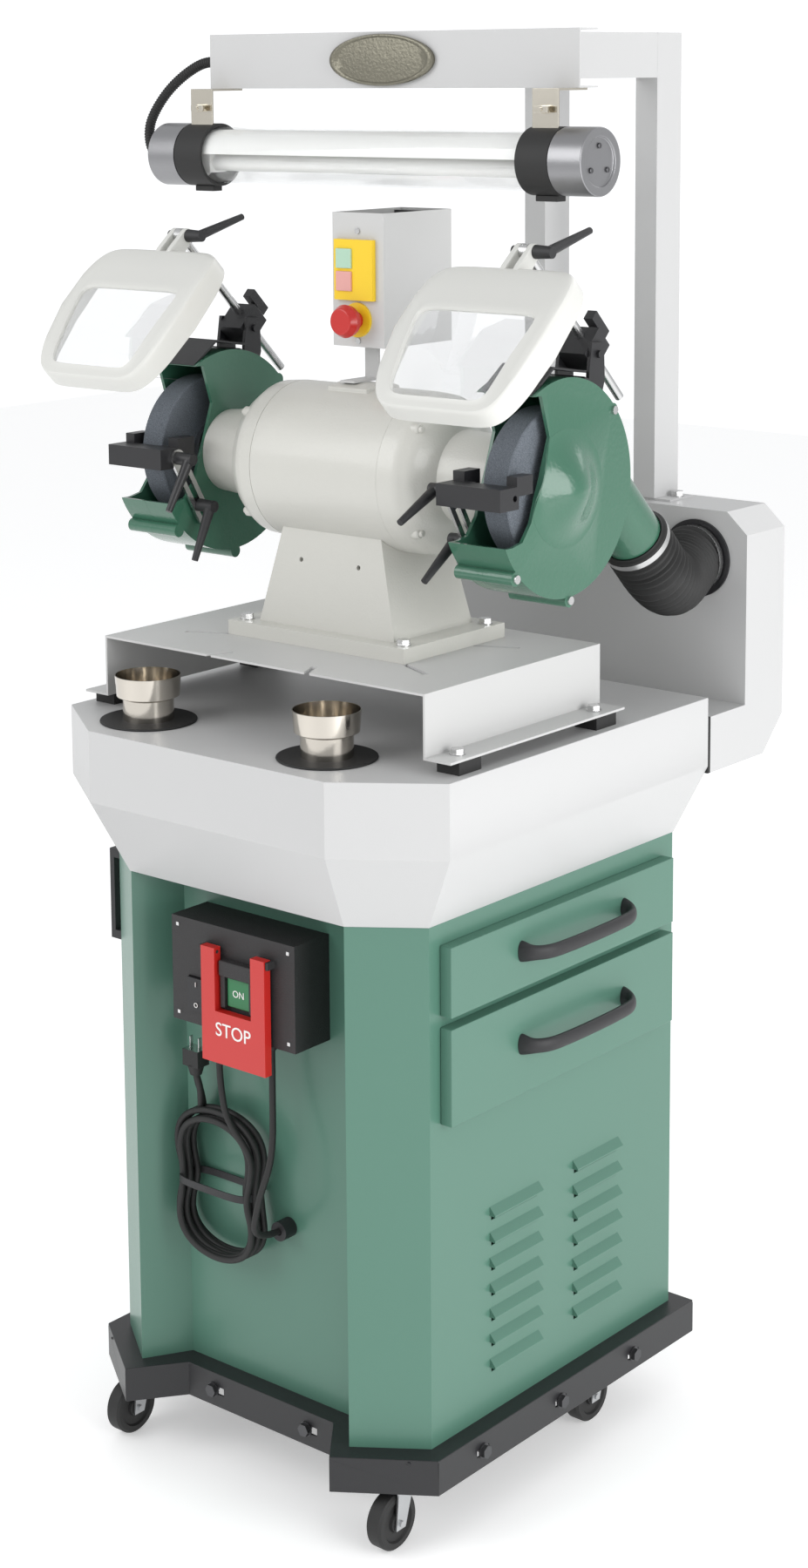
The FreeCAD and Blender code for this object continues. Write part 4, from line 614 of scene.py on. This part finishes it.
for name, z in (("upper", 753), ("lower", 628)):
    x = 291.5
    route = [at(x - 1, 283, z), at(x + 16, 288, z), at(x + 29, 308, z), at(x + 33, 345, z),
             at(x + 34, 398, z),
             at(x + 33, 451, z), at(x + 29, 488, z), at(x + 16, 508, z), at(x - 1, 513, z)]
    bow_handle(f"{name}_pull", route, 0.0095, 0.0055, BLACK_PLASTIC, f"{name}_drawer_body")
    box = [(at(x + 0.1, 100, z - 30), at(x + 60, 700, z + 30))]
    carve(f"{name}_drawer", [(None, None, box)], f"{name}_drawer_front", GREEN,
          f"{name}_drawer_body", 0.0022)

# ---------------------------------------------------------------- pieces copied from the CAD solids
FRAME_BODY = "machine_frame"


def whole(node, name, material, body, bevel):
    """One piece from all of a CAD node's solids."""
    carve(node, [], name, material, body, bevel)


whole("mobile_base", "base_tray", BLACK_METAL, FRAME_BODY, 0.0012)
carve("cabinet_shell",
      [("cord_gland", BLACK_PLASTIC, [(at(10, 80, 340), at(60, 135, 390))]),
       ("side_strip", BLACK_PLASTIC, [(at(-310, 110, 680), at(-272.9, 150, 830))]),
       ("runner_angles", GREY_METAL, [(at(-190, 140, 563), at(271.1, 640, 720))])],
      "cabinet_walls", GREEN, FRAME_BODY)
carve("upper_housing", [("cup_mats", RUBBER, [(at(-300, 0, 1022.9), at(300, 300, 1030))])],
      "hood_shell", WHITE,
      FRAME_BODY, 0.003)
carve("rear_duct",
      [("duct_gasket", RUBBER, [(at(-331, 655, 900), at(331, 662.1, 1000))]),
       ("port_collars", BLACK_METAL, [(at(192, 734, 1139), at(304, 749.1, 1251)),
                                     (at(-304, 734, 1139), at(-192, 749.1, 1251))])],
      "duct_shell", WHITE, FRAME_BODY)
carve("light_frame", [("plaque_back", BRONZE, [(at(-95, 360, 1850), at(95, 370.01, 1930))])],
      "posts_and_beam",
      WHITE, FRAME_BODY, 0.0006)
carve("lamp_brackets",
      [("left_strap", RUBBER, [(at(-330, 280, 1700), at(-250, 400, 1806))]),
       ("right_strap", RUBBER, [(at(250, 280, 1700), at(330, 400, 1806))])],
      "hanger_brackets", NICKEL, FRAME_BODY, 0.0008)
carve("lamp_tube", [("clear_tube", CLEAR, [(at(-363, 290, 1700), at(363, 390, 1801))])],
      "lamp_caps", CAP_GREY,
      "lamp_body", 0.0015)
carve("fluorescent_tube", [], "lamp_inside", TUBE_WHITE, "lamp_body", 0.0)
carve("bench_shelf", [("rubber_blocks", RUBBER, [(at(-330, 80, 1022), at(330, 500, 1040.01))])],
      "shelf_plate",
      SHELF_WHITE, FRAME_BODY)
whole("pedestal", "grinder_foot", CREAM, FRAME_BODY, 0.003)
whole("motor_shell", "motor_drum", CREAM, FRAME_BODY, 0.0012)
whole("end_bells", "bearing_bells", CREAM, FRAME_BODY, 0.0)
whole("inner_guards", "guard_backs", IRON_GREEN, FRAME_BODY, 0.002)
whole("guard_covers", "guard_faces", IRON_GREEN, FRAME_BODY, 0.002)
whole("shield_brackets", "shield_saddles", BLACK_METAL, FRAME_BODY, 0.0008)
for name in ("left", "right"):
    whole(f"pivot_block_{name}", f"pivot_{name}_block", BLACK_PLASTIC, f"pivot_{name}", 0.0015)
    whole(f"shield_lever_{name}", f"lever_{name}_handle", BLACK_PLASTIC, f"lever_{name}", 0.0008)
    whole(f"tool_rest_{name}", f"rest_{name}_table", BLACK_METAL, f"rest_{name}", 0.0015)
carve("control_box",
      [("switch_plate", YELLOW, [(at(-37, 290, 1570), at(31, 313.01, 1665))]),
       ("stop_collar", YELLOW, [(at(-25, 290, 1520), at(25, 313.01, 1576))]),
       ("contact_blocks", BLACK_PLASTIC, [(at(-33, 330, 1530), at(21, 450, 1650))]),
       ("divider_strip", BLACK_PLASTIC, [(at(-43, 438, 1515), at(43, 444, 1690))])],
      "control_casing", SHELF_WHITE, FRAME_BODY)
whole("switch_box", "starter_case", SWITCH_BLACK, FRAME_BODY, 0.003)
whole("stop_paddle", "paddle", RED, "paddle_body", 0.004)
whole("rocker_switch", "rocker", BLACK_PLASTIC, "rocker_body", 0.0015)
whole("on_button", "on_key", GREEN_BUTTON, "on_button_body", 0.0015)
whole("estop_button", "stop_mushroom", RED, "estop_button_body", 0.0018)
whole("start_button", "start_key", MINT, "start_button_body", 0.001)
whole("stop_button", "stop_key", ROSE, "stop_button_body", 0.001)
carve("fasteners",
      [("base_bolts", DARK_ZINC, [(at(-340, -60, 85), at(340, 700, 125))]),
       ("clamp_levers", BLACK_PLASTIC, [(at(-260, 120, 1180), at(-200, 300, 1345)),
                                        (at(200, 120, 1180), at(260, 300, 1345))])],
      "bolts_and_clamps", STEEL, FRAME_BODY, 0.0004)


# ---------------------------------------------------------------- turned and small added pieces
def turned_about_x(name, profile, centre, side, material, body, sides=64):
    """A surface turned about the X direction: profile rows are (x, radius) in mm, x outward on its side."""
    angle = np.linspace(0, 2 * np.pi, sides, endpoint=False)
    rings = []
    for x, r in profile:
        rings.append(np.stack([np.full(sides, side * x / 1000), r * np.cos(angle) / 1000,
                               r * np.sin(angle) / 1000], 1))
    points = np.array(rings) + np.array(centre)
    if side < 0:
        points = points[:, ::-1]
    return link(name, grid_mesh(name, points, False, True), material, body)


def small_box(name, x, y, z, material, body, bevel=0.0):
    """An axis-aligned block from three (low, high) pairs in mm."""
    corners = [at(a, b, c) for a in x for b in y for c in z]
    faces = [(0, 1, 3, 2), (4, 6, 7, 5), (0, 4, 5, 1), (2, 3, 7, 6), (0, 2, 6, 4), (1, 5, 7, 3)]
    mesh = bpy.data.meshes.new(name)
    mesh.from_pydata(corners, [], faces)
    return link(name, mesh, material, body, (), bevel)


def lettering(name, words, high, place, material, body):
    """Plain function wording, 0.4 mm to either side of its plane, for a face that looks forward (-Y)."""
    data = bpy.data.curves.new(name, "FONT")
    data.body = words
    data.size = high
    data.extrude = 0.0004
    data.align_x = "CENTER"
    maker = bpy.data.objects.new(name + "_maker", data)
    bpy.context.scene.collection.objects.link(maker)
    bpy.context.view_layer.update()
    mesh = bpy.data.meshes.new_from_object(maker)
    bpy.data.objects.remove(maker)
    mesh.transform(Matrix.Translation(place) @ Matrix.Rotation(math.radians(90), 4, "X"))
    return link(name, mesh, material, body)


def guard_dome(name, side):
    """The swelling on a guard's face, cut back along the open front.

    x = 333.2 + 26 (1 + cos(pi r / 76)) / 2.
    """
    angle = np.linspace(0, 2 * np.pi, 96, endpoint=False)
    rings = []
    for step, r in enumerate((76, 76, 72, 68, 63, 57, 50, 43, 36, 29, 22, 15, 8, 0.05)):
        u, v = r * np.cos(angle), r * np.sin(angle)
        edge = np.interp(v, [-60, -56, -34, -5, 18, 69, 122], [-112, -92, -74, -64, -54, -36, -53])
        u = np.maximum(u, edge + 0.8)
        x = 333.2 + 13 * (1 + np.cos(np.pi * np.minimum(np.hypot(u, v), 76) / 76))
        if step == 0:
            x = np.full(96, 332.6)
        rings.append(np.stack([side * x, u, v], 1) / 1000)
    points = np.array(rings) + np.array(at(0, SHAFT_Y, SHAFT_Z))
    return link(name, grid_mesh(name, points[:, ::side], False, True), IRON_GREEN, FRAME_BODY)


for side, name in ((-1, "left"), (1, "right")):
    guard_dome(f"guard_dome_{name}", side)
    cap = [(366.8, 30.5), (366.8, 0.05)]
    turned_about_x(f"lamp_cap_face_{name}", cap, at(0, LAMP_Y, LAMP_Z), side, CAP_GREY, "lamp_body")
    for k in range(3):
        turn = math.radians(90 + 120 * k)
        screw = [(366.9, 3.6), (369.0, 3.6), (369.6, 2.6), (369.8, 0.05)]
        turned_about_x(f"lamp_cap_screw_{name}_{k}", screw,
                       at(0, LAMP_Y + 20 * math.cos(turn), LAMP_Z + 20 * math.sin(turn)), side,
                       DARK_ZINC, "lamp_body", 16)

for side, name in ((-1, "left"), (1, "right")):
    for k in range(4):
        turn = math.radians(45 + 90 * k)
        boss = [(128, 7.5), (150, 7.5), (151.5, 6), (151.5, 4.6), (155, 4.4), (156, 3.4),
                (156, 0.05)]
        turned_about_x(f"bell_screw_{name}_{k}", boss,
                       at(0, SHAFT_Y + 95 * math.cos(turn), SHAFT_Z + 95 * math.sin(turn)),
                       side, CREAM, FRAME_BODY, 24)

small_box("on_housing_top", (-14, 43), (38, 50), (720, 741), SWITCH_BLACK, FRAME_BODY, 0.002)
small_box("on_housing_left", (-14, -6), (41, 50), (677, 720), SWITCH_BLACK, FRAME_BODY, 0.001)
small_box("on_housing_right", (36, 43), (41, 50), (677, 720), SWITCH_BLACK, FRAME_BODY, 0.001)
lettering("stop_word", "STOP", 0.026, at(14.5, 33.8, 641), PALE_PRINT, "paddle_body")
lettering("on_word", "ON", 0.013, at(15, 44.8, 694), PALE_PRINT, "on_button_body")
lettering("rocker_line", "I", 0.009, at(-62, 44.9, 692), PALE_PRINT, "rocker_body")
lettering("rocker_ring", "O", 0.009, at(-62, 44.9, 664), PALE_PRINT, "rocker_body")
for x, z in ((-97, 650), (97, 650), (-97, 770), (97, 770)):
    small_box(f"case_screw_{x}_{z}", (x - 2.5, x + 2.5), (48.8, 50.2), (z - 2.5, z + 2.5), STEEL,
              FRAME_BODY, 0.0006)


# ---------------------------------------------------------------- plaque
def oval_plaque():
    """A blank oval, 3.4 mm proud in the middle, 1.9 mm at s = 0.86 and 3.8 mm at the rim, s = 0.93."""
    angle = np.linspace(0, 2 * np.pi, 80, endpoint=False)
    rings = []
    for s, lift in ((0.0001, 3.4), (0.4, 3.1), (0.75, 2.2), (0.86, 1.9), (0.885, 3.0), (0.93, 3.8),
                    (0.97, 3.4),
                    (1.0, 1.8), (1.0, 0.0)):
        x, z = 89 * s * np.cos(angle), 34 * s * np.sin(angle)
        rings.append(np.stack([(x - 2) / 1000, np.full(80, (366 - lift) / 1000 - HALF_DEPTH),
                               (z + 1889) / 1000], 1))
    return grid_mesh("plaque", np.array(rings), False, True)


link("oval_plaque", oval_plaque(), BRONZE, FRAME_BODY)

# ---------------------------------------------------------------- finishes of the nodes shown as they are
SHOWN = {
    "blower_impeller": STEEL, "arbor": STEEL, "grinding_wheels": STONE, "stator": COPPER,
    "quench_cup_left": STAINLESS, "quench_cup_right": STAINLESS, "dust_blower": GREY_METAL,
    "rest_arm_left": STEEL, "rest_arm_right": STEEL, "shield_rod_left": STEEL,
    "shield_rod_right": STEEL,
}
for corner in ("front_left", "front_right", "rear_left", "rear_right"):
    SHOWN[f"caster_fork_{corner}"] = GREY_METAL
    SHOWN[f"caster_wheel_{corner}"] = RUBBER
for node, material in SHOWN.items():
    mesh = NODES[node].data
    mesh.materials.clear()
    mesh.materials.append(material)
